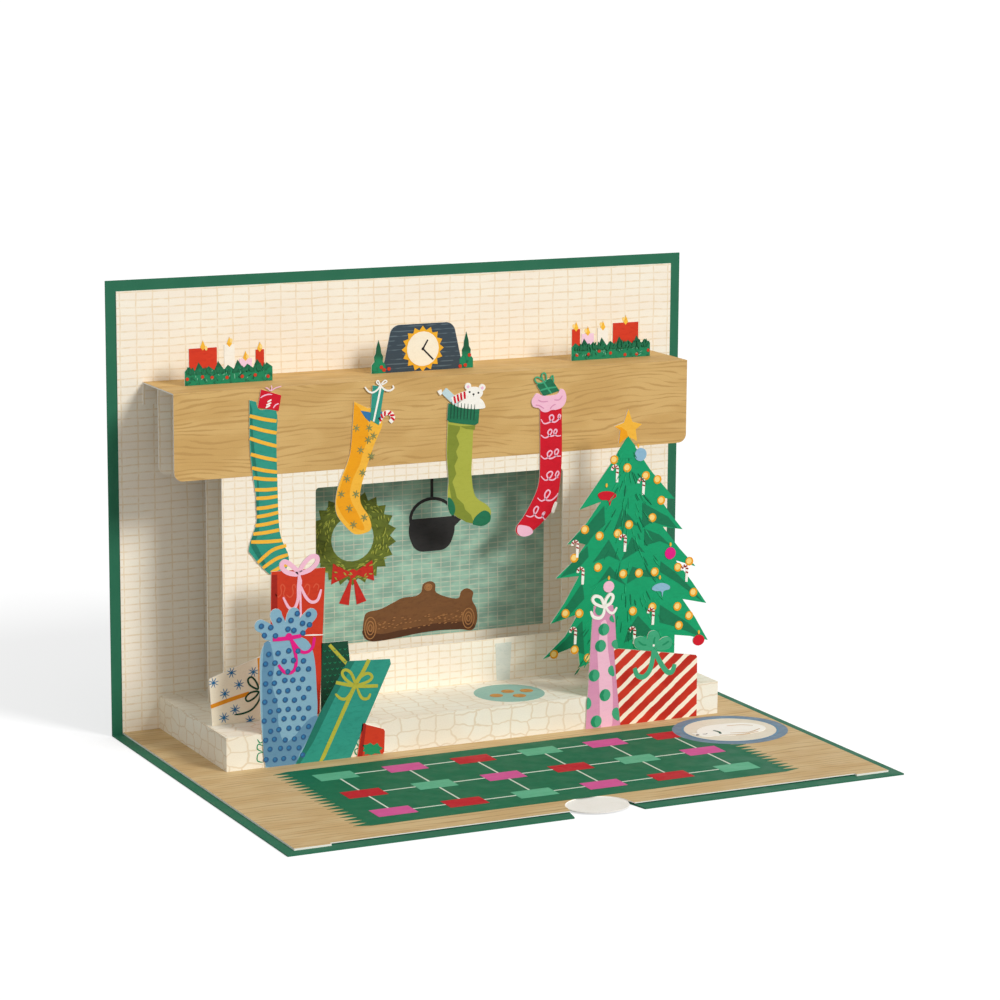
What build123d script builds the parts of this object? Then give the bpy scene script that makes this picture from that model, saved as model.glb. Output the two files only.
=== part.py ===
from build123d import *
import os
from math import acos, atan2, ceil, cos, degrees, pi, radians, sin, tan

os.makedirs("parts", exist_ok=True)

# A pop-up greeting card that stands open at a right angle, in millimetres.
# X runs across the card, Y to the back, and Z up. The origin is at the bottom centre of the card's box.
# Heights are measured from the upper face of the floor page, and distances forward from the wall page.

# Card, pages and sheets
CARD_WIDTH = 177.8
LEAF_LENGTH = 127.0
COVER_THICKNESS = 0.4
PAGE_THICKNESS = 0.25
SHEET_THICKNESS = 0.3
PRINT_THICKNESS = 0.06
COVER_MARGIN = 3.0
CREASE_RADIUS = 0.3
GLUE_FLAP = 6.0
SLOT_CLEARANCE = 0.15

# Drawing: how far a small round print may be from its true curve, and how much of a run a corner's arc takes
PRINT_TOLERANCE = 0.06
ARC_SHARE = 0.45

# Note card, its pocket and the thumb notch
POCKET_FLAP = 9.9
POCKET_MOUTH = 152.0
POCKET_SETBACK = 1.0
NOTE_CLEARANCE = 1.5
NOTE_END_CLEARANCE = 9.85
NOTCH_WIDTH = 17.6
NOTCH_FLARE = 20.4
NOTCH_DEPTH = 7.3
NOTCH_SETBACK = 6.6
TAB_CLEARANCE = 0.3

# Chimney: its margin to the pages' sides sets the widths of the mantel and the hearth too
CHIMNEY_MARGIN = 20.9
CHIMNEY_TAB_WIDTH = 15.0
CHIMNEY_TAB_INSET = 4.0
FIREBOX_WIDTH = 76.2
FIREBOX_CENTRE = 0.6
FIREBOX_SILL = 12.4
FIREBOX_HEIGHT = 47.6
FIREBOX_CORNER = 1.0

# Hearth
HEARTH_OVERHANG = 10.0
HEARTH_DEPTH = 50.7
HEARTH_HEIGHT = 9.3

# Mantel shelf
MANTEL_OVERHANG = 13.6
MANTEL_DEPTH = 23.5
MANTEL_HEIGHT = 97.9
BAND_HEIGHT = 23.9
BAND_CORNER = 2.5

# Garlands on the shelf, each placed from its end of the mantel
LEFT_GARLAND_INSET = 20.6
RIGHT_GARLAND_INSET = 18.6
GARLAND_WIDTH = 25.6
GARLAND_LEAF_TIP = 6.3
GARLAND_LEAF_NOTCH = 3.9
GARLAND_LEAVES = 9
NECK_INSET = 0.5
FLAME_HEIGHT = 2.8
FLAME_WIDTH = 1.6

# Each candle: its place from the garland's middle, its width, its height and its colour
LEFT_CANDLES = (
    (-7.5, 8.1, 10.1, "red"),
    (0.2, 3.0, 10.6, "white"),
    (4.9, 3.7, 6.5, "pink"),
    (9.1, 2.5, 8.8, "red"),
)
RIGHT_CANDLES = (
    (-11.4, 2.6, 9.1, "red"),
    (-7.6, 3.9, 7.6, "pink"),
    (-2.7, 3.3, 8.9, "white"),
    (4.7, 8.3, 10.2, "red"),
)

# Clock and the sprigs beside it; the hands' turns are in degrees from twelve o'clock
CLOCK_CENTRE = 0.2
CLOCK_WIDTH = 25.0
CLOCK_TOP_WIDTH = 19.0
CLOCK_HEIGHT = 13.3
CLOCK_SHOULDER = 3.0
DIAL_HEIGHT = 6.2
DIAL_RADIUS = 4.9
DIAL_RIM = 0.4
DIAL_RAYS = 16
DIAL_RAY_LENGTH = 1.2
HAND_WIDTH = 0.45
LONG_HAND_GAP = 0.4
LONG_HAND_TURN = 135
SHORT_HAND_GAP = 2.0
SHORT_HAND_TURN = 31
SPRIG_WIDTH = 4.2
SPRIG_OVERLAP = 1.05
LEFT_SPRIG_HEIGHT = 9.4
RIGHT_SPRIG_HEIGHT = 10.3

# Firebox prints, each placed from the middle of the firebox's sill
WREATH_ACROSS = -22.0
WREATH_UP = 30.0
WREATH_RADIUS = 13.5
WREATH_HOLE = 6.5
WREATH_LEAVES = 22
WREATH_LEAF_DEPTH = 2.0
BOW_RISE = 3.5
BOW_KNOT_RADIUS = 1.3
KETTLE_ACROSS = 2.5
KETTLE_UP = 30.0
KETTLE_HALF_WIDTH = 7.4
KETTLE_HANDLE_HEIGHT = 6.0
CHAIN_LENGTH = 14.0
LOG_ACROSS = -0.6

# Glass of milk printed on the chimney
MILK_PLACE = 20.2
MILK_WIDTH = 5.1
MILK_FOOT_WIDTH = 4.1
MILK_HEIGHT = 10.9

# Stockings, each placed by the middle of its leg
STRIPED_STOCKING_PLACE = -53.0
STARRED_STOCKING_PLACE = -22.0
RIBBED_STOCKING_PLACE = 8.0
CURLED_STOCKING_PLACE = 35.0
STRIPE_WIDTH = 1.1
STRIPE_PITCH = 4.1
LEG_STRIPES = 9
LEG_STRIPE_TURN = -5
FOOT_STRIPES = 3
FOOT_STRIPE_TURN = 32
CANE_RADIUS = 2.7
CANE_WIDTH = 1.2
CUFF_CORNER = 0.8
TUFT_RADIUS = 1.9
CURLED_TOE_RADIUS = 4.6
TOY_HEAD_RADIUS = 2.5
TOY_EAR_RADIUS = 0.9
SWEET_WIDTH = 2.0

# Tree, placed from the right end of the hearth
TREE_INSET = 21.7
TRUNK_WIDTH = 8.0
STAR_RADIUS = 4.9
STAR_NOTCH_RADIUS = 2.06
STAR_HEIGHT = 72.2
BAUBLE_RADIUS = 1.25
PINK_BALL_RADIUS = 1.6
ORNAMENT_RADIUS = 1.9
DROP_LENGTH = 5.3
DROP_HEIGHT = 2.85
DROP_POINT = 1.2

# Points of the tree's edge from its foot: tips and the notches between them, up one side and down the other
TREE_RIGHT = (
    (15.4, 10.8),
    (26.1, 9.0),
    (18.4, 21.1),
    (25.6, 19.9),
    (15.4, 32.6),
    (22.2, 30.7),
    (11.3, 42.8),
    (17.7, 41.6),
    (10.2, 50.8),
    (15.4, 50.7),
    (7.2, 59.5),
)
TREE_TOP = (0, 71.0)
TREE_LEFT = (
    (-5.3, 62.4),
    (-15.4, 49.8),
    (-8.3, 50.6),
    (-19.2, 40.4),
    (-12.3, 40.8),
    (-23.2, 31.0),
    (-15.2, 30.6),
    (-24.5, 18.1),
    (-15.6, 18.9),
    (-27.2, 8.6),
    (-15.9, 9.8),
    (-15.6, 5.2),
    (-11.2, 8.1),
)

# Places on the tree, from its foot
GOLD_BAUBLES = (
    (-4.4, 63.3), (-0.3, 60.7), (5.7, 58.0), (9.5, 56.6), (10.7, 50.6), (7.8, 45.8),
    (0.3, 44.5), (-3.3, 42.2), (-9.1, 42.0), (-13.8, 44.2), (-17.2, 36.3), (-9.7, 33.1),
    (-1.6, 30.5), (3.5, 30.3), (8.6, 30.2), (19.9, 32.3), (16.2, 30.9), (21.3, 23.2),
    (16.0, 19.5), (19.9, 16.5), (16.5, 14.0), (1.5, 19.5), (7.8, 20.1), (-15.7, 20.4),
    (-20.1, 20.8), (-23.8, 9.4), (-17.2, 10.1), (-13.0, 7.3),
)
RED_BALL = (23.1, 9.4)
RED_DROP = (-6.7, 53.4)
BLUE_BALL = (4.1, 64.0)
BLUE_DROP = (10.6, 25.9)
PINK_BALLS = ((13.6, 35.4), (-6.3, 27.2))

# Gifts of the back row, placed from the hearth's left end and drawn from their own
RIBBON_WIDTH = 0.9
WIDE_RIBBON = 1.1
BACK_GIFTS_INSET = 1.0
BACK_GIFTS_TAB = 10.0
BACK_GIFTS_TAB_PLACES = (9.0, 30.0)
SNOW_BOX = ((0.7, 0), (0, 12.5), (14.8, 17.6), (18, 17.6), (18, 0))
TALL_BOX = ((17, 0), (18.1, 40.2), (34, 40.0), (31.8, 0))
TALL_KNOT = (25.7, 40.2)
TALL_RIBBON_FOOT = (25.9, 0)
DARK_BOX = ((32.4, 0), (32.4, 19.4), (40.5, 19.4), (41.2, 13.6), (40.4, 0))

# Gifts at the left in front of the hearth, placed from the hearth's left end and drawn from their own
FRONT_LEFT_INSET = 9.0
BAG_KNOT = (9.4, 33.6)
BAG_LOBES = ((2.2, 37.1), (6.2, 39.8), (11.3, 39.7), (16.1, 39.0))
BAG_LOBE_RADIUS = 2.1
LEANING_BOX = ((11.7, 0), (15.8, 8), (27.3, 26.4), (39.1, 25.7), (38.7, 23.1), (27.3, 0))
SMALL_BOX = ((29.7, 0), (29.7, 9), (37.6, 6.1), (37.4, 0))

# Gifts at the right in front of the hearth, placed from the hearth's right end and drawn from their own left
FRONT_RIGHT_INSET = 42.0
BOTTLE = ((0, 0), (4.1, 33), (7.3, 33), (10.8, 0))
BOTTLE_CORNER = 0.6
BOTTLE_KNOT = (5.6, 32.4)
STRIPED_BOX = ((9, 0), (9, 22.2), (35.4, 16.8), (35.1, 0))
BOX_KNOT = (21.4, 19)
BOX_LOOP_LENGTH = 6.4
BOX_LOOP_WIDTH = 3.4
BOX_LOOP_TURNS = (150, 86, 32)
BOX_STRIPES = 9
BOX_STRIPE_WIDTH = 2.3
BOX_STRIPE_PITCH = 4.2

# Rug, from the hearth's front to near the floor page's edge
RUG_MARGIN = 25.4
RUG_GAP = 6.8
RUG_FRONT_MARGIN = 10.35
RUG_FRINGE = 4.6
RUG_TASSELS = 20
RUG_BLOCK_WIDTH = 11.0
RUG_BLOCK_LENGTH = 6.5
RUG_COLUMNS = 6
RUG_ROWS = 3
RUG_LINE = 0.5

# Pet's bed, from the floor page's right edge and the hearth's front
BED_WIDTH = 33.0
BED_LENGTH = 30.8
BED_MARGIN = 0.6
BED_GAP = 2.5

# Plate of biscuits on the hearth
PLATE_PLACE = 14.9
PLATE_SETBACK = 12.6
PLATE_RADIUS = 10.0
BISCUIT_RADIUS = 1.9

# Places that follow from the sizes
WALL = LEAF_LENGTH / 2 - COVER_THICKNESS - PAGE_THICKNESS
FLOOR = COVER_THICKNESS + 2 * PAGE_THICKNESS
PAGE_WIDTH = CARD_WIDTH - 2 * COVER_MARGIN
CARD_FRONT = LEAF_LENGTH - COVER_THICKNESS - PAGE_THICKNESS
PAGE_FRONT = CARD_FRONT - COVER_MARGIN
NOTCH_CENTRE = CARD_FRONT - NOTCH_SETBACK
CHIMNEY_WIDTH = PAGE_WIDTH - 2 * CHIMNEY_MARGIN
CHIMNEY_TAB = CHIMNEY_WIDTH / 2 - CHIMNEY_TAB_INSET - CHIMNEY_TAB_WIDTH / 2
HEARTH_WIDTH = CHIMNEY_WIDTH + 2 * HEARTH_OVERHANG
MANTEL_WIDTH = CHIMNEY_WIDTH + 2 * MANTEL_OVERHANG
MIDDLE_DISTANCE = MANTEL_DEPTH / 2
TREE_DISTANCE = (MANTEL_DEPTH + HEARTH_DEPTH) / 2
STOCKING_DISTANCE = MANTEL_DEPTH + PRINT_THICKNESS + SHEET_THICKNESS
FRONT_GIFTS_DISTANCE = HEARTH_DEPTH + SHEET_THICKNESS
SHELF_UNDERSIDE = MANTEL_HEIGHT - SHEET_THICKNESS
SHELF_TOP = MANTEL_HEIGHT + PRINT_THICKNESS
BAND_BOTTOM = MANTEL_HEIGHT - BAND_HEIGHT
FIREBOX_BOTTOM = HEARTH_HEIGHT + FIREBOX_SILL
LEFT_GARLAND = LEFT_GARLAND_INSET - MANTEL_WIDTH / 2
RIGHT_GARLAND = MANTEL_WIDTH / 2 - RIGHT_GARLAND_INSET
TREE_PLACE = HEARTH_WIDTH / 2 - TREE_INSET
BACK_GIFTS_PLACE = BACK_GIFTS_INSET - HEARTH_WIDTH / 2
FRONT_LEFT_PLACE = FRONT_LEFT_INSET - HEARTH_WIDTH / 2
FRONT_RIGHT_PLACE = HEARTH_WIDTH / 2 - FRONT_RIGHT_INSET
RUG_WIDTH = PAGE_WIDTH - 2 * RUG_MARGIN
RUG_DISTANCE = HEARTH_DEPTH + RUG_GAP
RUG_LENGTH = PAGE_FRONT - RUG_FRONT_MARGIN - RUG_DISTANCE
BED_PLACE = PAGE_WIDTH / 2 - BED_MARGIN - BED_WIDTH / 2
BED_DISTANCE = HEARTH_DEPTH + BED_GAP + BED_LENGTH / 2
PLATE_DISTANCE = HEARTH_DEPTH - PLATE_SETBACK


# Drawing helpers

def between(low, high):
    """A rectangle given by two opposite corners."""
    centre = Pos((low[0] + high[0]) / 2, (low[1] + high[1]) / 2)
    return centre * Rectangle(high[0] - low[0], high[1] - low[1])


def cornered(*points):
    """A closed outline with sharp corners."""
    return make_face(Polyline(*points, close=True))


def rounded(radius, *points):
    """A closed outline whose corners are rounded to one radius."""
    return make_face(FilletPolyline(*points, radius=radius, close=True))


def flowing(*points):
    """A closed outline, its corners rounded as widely as their runs allow, but for the first and last."""
    runs = [Vector(*end) - Vector(*start) for start, end in zip(points, points[1:])]
    radii = []
    for before, after in zip(runs, runs[1:]):
        reach = ARC_SHARE * min(before.length, after.length)
        radii.append(reach / tan(radians(before.get_angle(after)) / 2))
    return make_face(FilletPolyline(*points, radius=[0, *radii, 0], close=True))


def ribbon(start, end, width=RIBBON_WIDTH):
    """A straight strip between two points, square at its ends."""
    run = Vector(*end) - Vector(*start)
    middle = (Vector(*start) + Vector(*end)) * 0.5
    turn = degrees(atan2(run.Y, run.X))
    return Pos(middle.X, middle.Y) * Rot(0, 0, turn) * Rectangle(run.length, width)


def capsule(start, end, radius):
    """A strip between two points with round ends."""
    middle = (Vector(*start) + Vector(*end)) * 0.5
    return SlotCenterPoint(middle, end, 2 * radius)


def oval(half_length, half_width):
    """An oval print, drawn as a polygon that keeps within the tolerance of the true curve."""
    sides = ceil(pi / acos(1 - PRINT_TOLERANCE / half_length))
    turns = [2 * pi * side / sides for side in range(sides)]
    return cornered(*[(half_length * cos(turn), half_width * sin(turn)) for turn in turns])


def dot(radius):
    """A round print."""
    return oval(radius, radius)


def loop(knot, length, width, turn):
    """One loop of a bow: an oval ring that starts at the knot and points along the turn, in degrees."""
    ring = oval(length / 2, width / 2) - oval(length / 2 - RIBBON_WIDTH, width / 2 - RIBBON_WIDTH)
    return Pos(*knot) * Rot(0, 0, turn) * Pos(length / 2 - RIBBON_WIDTH / 2, 0) * ring


def star(tips, outer, inner):
    """A star with one tip straight up."""
    points = []
    for step in range(2 * tips):
        reach = inner if step % 2 else outer
        angle = pi / 2 + pi * step / tips
        points.append((reach * cos(angle), reach * sin(angle)))
    return cornered(*points)


def all_at(places, shape):
    """The same shape at each place."""
    return Sketch() + [Pos(*place) * shape for place in places]


# From drawings to sheets

def upright(face, distance):
    """A sheet that stands across the card, drawn from the front, with its front face at the distance."""
    plane = Plane(origin=(0, WALL - distance, FLOOR), x_dir=(1, 0, 0), z_dir=(0, -1, 0))
    return extrude(plane * face, -SHEET_THICKNESS)


def print_on(face, distance, layer=0):
    """A printed field on the front of an upright sheet; the layer counts the prints below it."""
    depth = distance + layer * PRINT_THICKNESS
    plane = Plane(origin=(0, WALL - depth, FLOOR), x_dir=(1, 0, 0), z_dir=(0, -1, 0))
    return extrude(plane * face, PRINT_THICKNESS)


def lying(face, height, thickness):
    """A sheet that lies level, drawn from above with distances forward as negative values."""
    plane = Plane(origin=(0, WALL, FLOOR + height), x_dir=(1, 0, 0), z_dir=(0, 0, 1))
    return extrude(plane * face, thickness)


def folded(width, *corners):
    """A sheet folded square along X, from its side view; the corners are (distance, height) mid-sheet."""
    half = SHEET_THICKNESS / 2
    section = Sketch()
    for start, end in zip(corners, corners[1:]):
        low = (min(start[0], end[0]) - half, min(start[1], end[1]) - half)
        high = (max(start[0], end[0]) + half, max(start[1], end[1]) + half)
        section += between(low, high)
    side = Plane(origin=(-width / 2, WALL, FLOOR), x_dir=(0, -1, 0), z_dir=(-1, 0, 0))
    return extrude(side * section, -width)


def slot(left, right, distance, height):
    """The cut in a level sheet below that height which lets an upright sheet through."""
    near = -distance - SLOT_CLEARANCE
    far = -distance + SHEET_THICKNESS + SLOT_CLEARANCE
    face = between((left - SLOT_CLEARANCE, near), (right + SLOT_CLEARANCE, far))
    return lying(face, height - 2 * SHEET_THICKNESS, 3 * SHEET_THICKNESS)


def tab(centre, width):
    """The tongue of an upright sheet that goes through the hearth's top down to the floor page."""
    return between((centre - width / 2, 0), (centre + width / 2, HEARTH_HEIGHT + SHEET_THICKNESS))


def foot(centre, width, distance):
    """The glue flap at the end of a tongue, folded back on the floor page."""
    face = between((centre - width / 2, -distance), (centre + width / 2, GLUE_FLAP - distance))
    return lying(face, 0, SHEET_THICKNESS)


# Cover, pages and note card

def notch():
    """The thumb notch at the front edge: half an oval at the back, flaring out to the edge."""
    half = NOTCH_WIDTH / 2
    flare = NOTCH_FLARE / 2
    mouth = cornered(
        (-half, -NOTCH_CENTRE),
        (-flare, -CARD_FRONT),
        (flare, -CARD_FRONT),
        (half, -NOTCH_CENTRE),
    )
    return Pos(0, -NOTCH_CENTRE) * Ellipse(half, NOTCH_DEPTH) + mouth


def make_cover():
    """The cover is one folded card: its standing leaf, its lying leaf and the crease between them."""
    back = -PAGE_THICKNESS - COVER_THICKNESS
    under = -2 * PAGE_THICKNESS - COVER_THICKNESS
    standing = between((back, under), (-PAGE_THICKNESS, LEAF_LENGTH + under))
    leaf = between((back, under), (CARD_FRONT, -2 * PAGE_THICKNESS))
    section = standing + leaf
    crease = section.vertices().sort_by_distance((back, under))[0]
    section = fillet(crease, CREASE_RADIUS)
    side = Plane(origin=(-CARD_WIDTH / 2, WALL, FLOOR), x_dir=(0, -1, 0), z_dir=(-1, 0, 0))
    card = extrude(side * section, -CARD_WIDTH)
    return card - lying(notch(), -FLOOR, FLOOR)


def make_wall_page():
    half = PAGE_WIDTH / 2
    height = LEAF_LENGTH - COVER_THICKNESS - COVER_MARGIN
    face = between((-half, -2 * PAGE_THICKNESS), (half, height - 2 * PAGE_THICKNESS))
    plane = Plane(origin=(0, WALL, FLOOR), x_dir=(1, 0, 0), z_dir=(0, -1, 0))
    return extrude(plane * face, -PAGE_THICKNESS)


def make_floor_page():
    """The floor page: a sheet with three edges folded under, which leave a pocket open at the front."""
    half = PAGE_WIDTH / 2
    face = between((-half, -PAGE_FRONT), (half, 0))
    mouth = between((-POCKET_MOUTH / 2, -PAGE_FRONT), (POCKET_MOUTH / 2, POCKET_SETBACK - PAGE_FRONT))
    top = lying(face - mouth - notch(), -PAGE_THICKNESS, PAGE_THICKNESS)
    flaps = face - between((-half + POCKET_FLAP, -PAGE_FRONT), (half - POCKET_FLAP, -POCKET_FLAP))
    return top + lying(flaps, -2 * PAGE_THICKNESS, PAGE_THICKNESS)


def make_note_card():
    """The card in the pocket, with a round tab that fills the thumb notch."""
    half = PAGE_WIDTH / 2 - POCKET_FLAP - NOTE_CLEARANCE
    body = between((-half, -NOTCH_CENTRE), (half, -POCKET_FLAP - NOTE_END_CLEARANCE))
    finger_tab = Pos(0, -NOTCH_CENTRE) * Ellipse(NOTCH_WIDTH / 2 - TAB_CLEARANCE, NOTCH_SETBACK)
    return lying(body + finger_tab, -2 * PAGE_THICKNESS, PAGE_THICKNESS)


# Hearth, mantel and chimney

def chimney_tabs():
    """The two tongues under the legs of the chimney."""
    return tab(-CHIMNEY_TAB, CHIMNEY_TAB_WIDTH) + tab(CHIMNEY_TAB, CHIMNEY_TAB_WIDTH)


def chimney_feet(distance):
    left = foot(-CHIMNEY_TAB, CHIMNEY_TAB_WIDTH, distance)
    return left + foot(CHIMNEY_TAB, CHIMNEY_TAB_WIDTH, distance)


def chimney_breast(top):
    """The outline that two sheets share: the mantel's wide band and the chimney below it."""
    half = MANTEL_WIDTH / 2
    band = between((-half, BAND_BOTTOM), (half, top))
    lower_corners = band.vertices().group_by(Axis.Y)[0]
    chimney = between((-CHIMNEY_WIDTH / 2, HEARTH_HEIGHT), (CHIMNEY_WIDTH / 2, BAND_BOTTOM + BAND_CORNER))
    return fillet(lower_corners, BAND_CORNER) + chimney + chimney_tabs()


def firebox():
    """The outline of the firebox opening."""
    centre = Pos(FIREBOX_CENTRE, FIREBOX_BOTTOM + FIREBOX_HEIGHT / 2)
    return centre * RectangleRounded(FIREBOX_WIDTH, FIREBOX_HEIGHT, FIREBOX_CORNER)


def make_hearth():
    """The hearth is one box folded round the front: top, front, two sides and flaps to both pages."""
    half = SHEET_THICKNESS / 2
    level = HEARTH_HEIGHT - half
    front = HEARTH_DEPTH - half
    box = folded(
        HEARTH_WIDTH,
        (half, HEARTH_HEIGHT - GLUE_FLAP),
        (half, level),
        (front, level),
        (front, half),
        (HEARTH_DEPTH - GLUE_FLAP, half),
    )
    for side in (-1, 1):
        place = side * (HEARTH_WIDTH - SHEET_THICKNESS) / 2
        cheek = between((place - half, -HEARTH_DEPTH), (place + half, 0))
        box += lying(cheek, 0, HEARTH_HEIGHT)
    for distance in (MIDDLE_DISTANCE, MANTEL_DEPTH):
        for centre in (-CHIMNEY_TAB, CHIMNEY_TAB):
            reach = CHIMNEY_TAB_WIDTH / 2
            box -= slot(centre - reach, centre + reach, distance, HEARTH_HEIGHT)
    reach = TRUNK_WIDTH / 2
    box -= slot(TREE_PLACE - reach, TREE_PLACE + reach, TREE_DISTANCE, HEARTH_HEIGHT)
    for centre in back_gift_tabs():
        reach = BACK_GIFTS_TAB / 2
        box -= slot(centre - reach, centre + reach, TREE_DISTANCE, HEARTH_HEIGHT)
    return box


def shelf_slots():
    """The three slots in the mantel shelf, for the two garlands and the clock."""
    cuts = []
    for left, right in shelf_spans():
        cuts.append(slot(left + NECK_INSET, right - NECK_INSET, MIDDLE_DISTANCE, MANTEL_HEIGHT))
    return cuts


def make_mantel_front():
    """The shelf and the front of the chimney are one sheet, folded at the shelf's front edge."""
    half = SHEET_THICKNESS / 2
    level = MANTEL_HEIGHT - half
    shelf = folded(
        MANTEL_WIDTH,
        (half, MANTEL_HEIGHT - GLUE_FLAP),
        (half, level),
        (MANTEL_DEPTH - half, level),
    )
    sheet = shelf + upright(chimney_breast(MANTEL_HEIGHT) - firebox(), MANTEL_DEPTH)
    return sheet + chimney_feet(MANTEL_DEPTH) - shelf_slots()


def make_mantel_wood():
    """The printed wood on the shelf and on its front band, in one piece round the fold."""
    half = MANTEL_WIDTH / 2
    top = lying(between((-half, -MANTEL_DEPTH), (half, 0)), MANTEL_HEIGHT, PRINT_THICKNESS)
    band = between((-half, BAND_BOTTOM), (half, MANTEL_HEIGHT + PRINT_THICKNESS))
    band = fillet(band.vertices().group_by(Axis.Y)[0], BAND_CORNER)
    return top + print_on(band, MANTEL_DEPTH) - shelf_slots()


def make_mid_panel():
    """The middle sheet, whose upper edge goes on through the shelf as garlands and clock."""
    face = chimney_breast(SHELF_UNDERSIDE)
    for left, right in shelf_spans():
        face += between((left + NECK_INSET, SHELF_UNDERSIDE), (right - NECK_INSET, SHELF_TOP))
    face += garland_leaves() + clock_case()
    for candle in candles():
        face += candle_body(candle) + candle_flame(candle)
    return upright(face, MIDDLE_DISTANCE) + chimney_feet(MIDDLE_DISTANCE)


# Garlands and clock

def candles(colour=None):
    """The candles of one colour, or all of them, each with its place, width and height."""
    found = []
    for garland, row in ((LEFT_GARLAND, LEFT_CANDLES), (RIGHT_GARLAND, RIGHT_CANDLES)):
        for place, width, height, wax in row:
            if colour in (None, wax):
                found.append((garland + place, width, height))
    return found


def candle_body(candle):
    place, width, height = candle
    return between((place - width / 2, SHELF_TOP), (place + width / 2, SHELF_TOP + height))


def candle_flame(candle):
    """A pointed oval over the wick, its foot sunk a little into the wax."""
    place, _, height = candle
    middle = Pos(place, SHELF_TOP + height + FLAME_HEIGHT / 4)
    half = FLAME_HEIGHT / 2
    side = FLAME_WIDTH / 2
    right = cornered((0, -half), (side, -half / 3), (side / 2, half / 3), (0, half))
    return middle * (right + mirror(right, Plane.YZ))


def leafy(left, right, notch_height, tip_height, leaves):
    """A row of leaf tips on a straight foot, the tips by turns taller and lower."""
    pitch = (right - left) / leaves
    points = [(left, 0), (left, notch_height)]
    for leaf in range(leaves):
        tip = tip_height if leaf % 2 else (tip_height + notch_height) / 2
        points.append((left + (leaf + 0.4) * pitch, tip))
        points.append((left + (leaf + 1) * pitch, notch_height))
    points.append((right, 0))
    return cornered(*points)


def sprig(left, right, height):
    """A pointed sprig of green: three pairs of side tips below the top one."""
    middle = (left + right) / 2
    half = (right - left) / 2
    points = [(left, 0)]
    for step in (3, 2, 1):
        points.append((middle - half * step / 3, height * (1 - step / 4)))
        points.append((middle - half * step / 5, height * (1.1 - step / 4)))
    points.append((middle, height))
    for step in (1, 2, 3):
        points.append((middle + half * step / 5, height * (1.1 - step / 4)))
        points.append((middle + half * step / 3, height * (1 - step / 4)))
    points.append((right, 0))
    return cornered(*points)


def shelf_spans():
    """The left and right ends of what rises through each slot of the shelf."""
    half = GARLAND_WIDTH / 2
    clock = CLOCK_WIDTH / 2 + SPRIG_WIDTH - SPRIG_OVERLAP
    return (
        (LEFT_GARLAND - half, LEFT_GARLAND + half),
        (CLOCK_CENTRE - clock, CLOCK_CENTRE + clock),
        (RIGHT_GARLAND - half, RIGHT_GARLAND + half),
    )


def garland_leaves():
    """All the green on the shelf: two garlands, and a sprig at each side of the clock."""
    (left, left_end), (clock_left, clock_right), (right, right_end) = shelf_spans()
    green = leafy(left, left_end, GARLAND_LEAF_NOTCH, GARLAND_LEAF_TIP, GARLAND_LEAVES)
    green += leafy(right, right_end, GARLAND_LEAF_NOTCH, GARLAND_LEAF_TIP, GARLAND_LEAVES)
    green += sprig(clock_left, clock_left + SPRIG_WIDTH, LEFT_SPRIG_HEIGHT)
    green += sprig(clock_right - SPRIG_WIDTH, clock_right, RIGHT_SPRIG_HEIGHT)
    return Pos(0, SHELF_TOP) * green


def clock_case():
    """The clock's case, narrower at the top, with round shoulders."""
    half = CLOCK_WIDTH / 2
    top = CLOCK_TOP_WIDTH / 2
    case = cornered((-half, 0), (half, 0), (top, CLOCK_HEIGHT), (-top, CLOCK_HEIGHT))
    case = fillet(case.vertices().group_by(Axis.Y)[-1], CLOCK_SHOULDER)
    return Pos(CLOCK_CENTRE, SHELF_TOP) * case


def dial_place():
    return Pos(CLOCK_CENTRE, SHELF_TOP + DIAL_HEIGHT)


def clock_rim():
    """The gold rim, drawn out into rays."""
    outer = DIAL_RADIUS + DIAL_RIM
    return dial_place() * star(DIAL_RAYS, outer + DIAL_RAY_LENGTH, outer)


def hand(gap, turn):
    """A hand that points at the turn and ends that gap inside the dial's edge."""
    return Rot(0, 0, -turn) * ribbon((0, 0), (0, DIAL_RADIUS - gap), HAND_WIDTH)


def clock_hands():
    """The two hands, at about twenty past one."""
    hands = hand(LONG_HAND_GAP, LONG_HAND_TURN) + hand(SHORT_HAND_GAP, SHORT_HAND_TURN)
    return dial_place() * (hands + dot(HAND_WIDTH))


# Firebox prints

def make_firebox_tiles():
    """The tiled back of the firebox, a little larger than the opening so that no edge shows."""
    centre = Pos(FIREBOX_CENTRE, FIREBOX_BOTTOM + FIREBOX_HEIGHT / 2)
    return print_on(centre * Rectangle(FIREBOX_WIDTH, FIREBOX_HEIGHT), MIDDLE_DISTANCE)


def firebox_spot(across, up):
    """A place in the firebox, from the middle of its lower edge."""
    return Pos(FIREBOX_CENTRE + across, FIREBOX_BOTTOM + up)


def make_wreath():
    """A wreath of leaves that hangs at the left in the firebox."""
    leaves = star(WREATH_LEAVES, WREATH_RADIUS, WREATH_RADIUS - WREATH_LEAF_DEPTH) - dot(WREATH_HOLE)
    return print_on(firebox_spot(WREATH_ACROSS, WREATH_UP) * leaves, MIDDLE_DISTANCE, 1)


def make_wreath_bow():
    """The wreath's red bow: two solid loops, two tails and the knot."""
    right = cornered((0, 0), (6, 3.4), (6.6, -2.6)) + cornered((0, 0), (1.2, -9), (4.2, -8.2))
    bow = right + mirror(right, Plane.YZ) + dot(BOW_KNOT_RADIUS)
    knot = firebox_spot(WREATH_ACROSS, WREATH_UP - WREATH_RADIUS + BOW_RISE)
    return print_on(knot * bow, MIDDLE_DISTANCE, 2)


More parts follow.
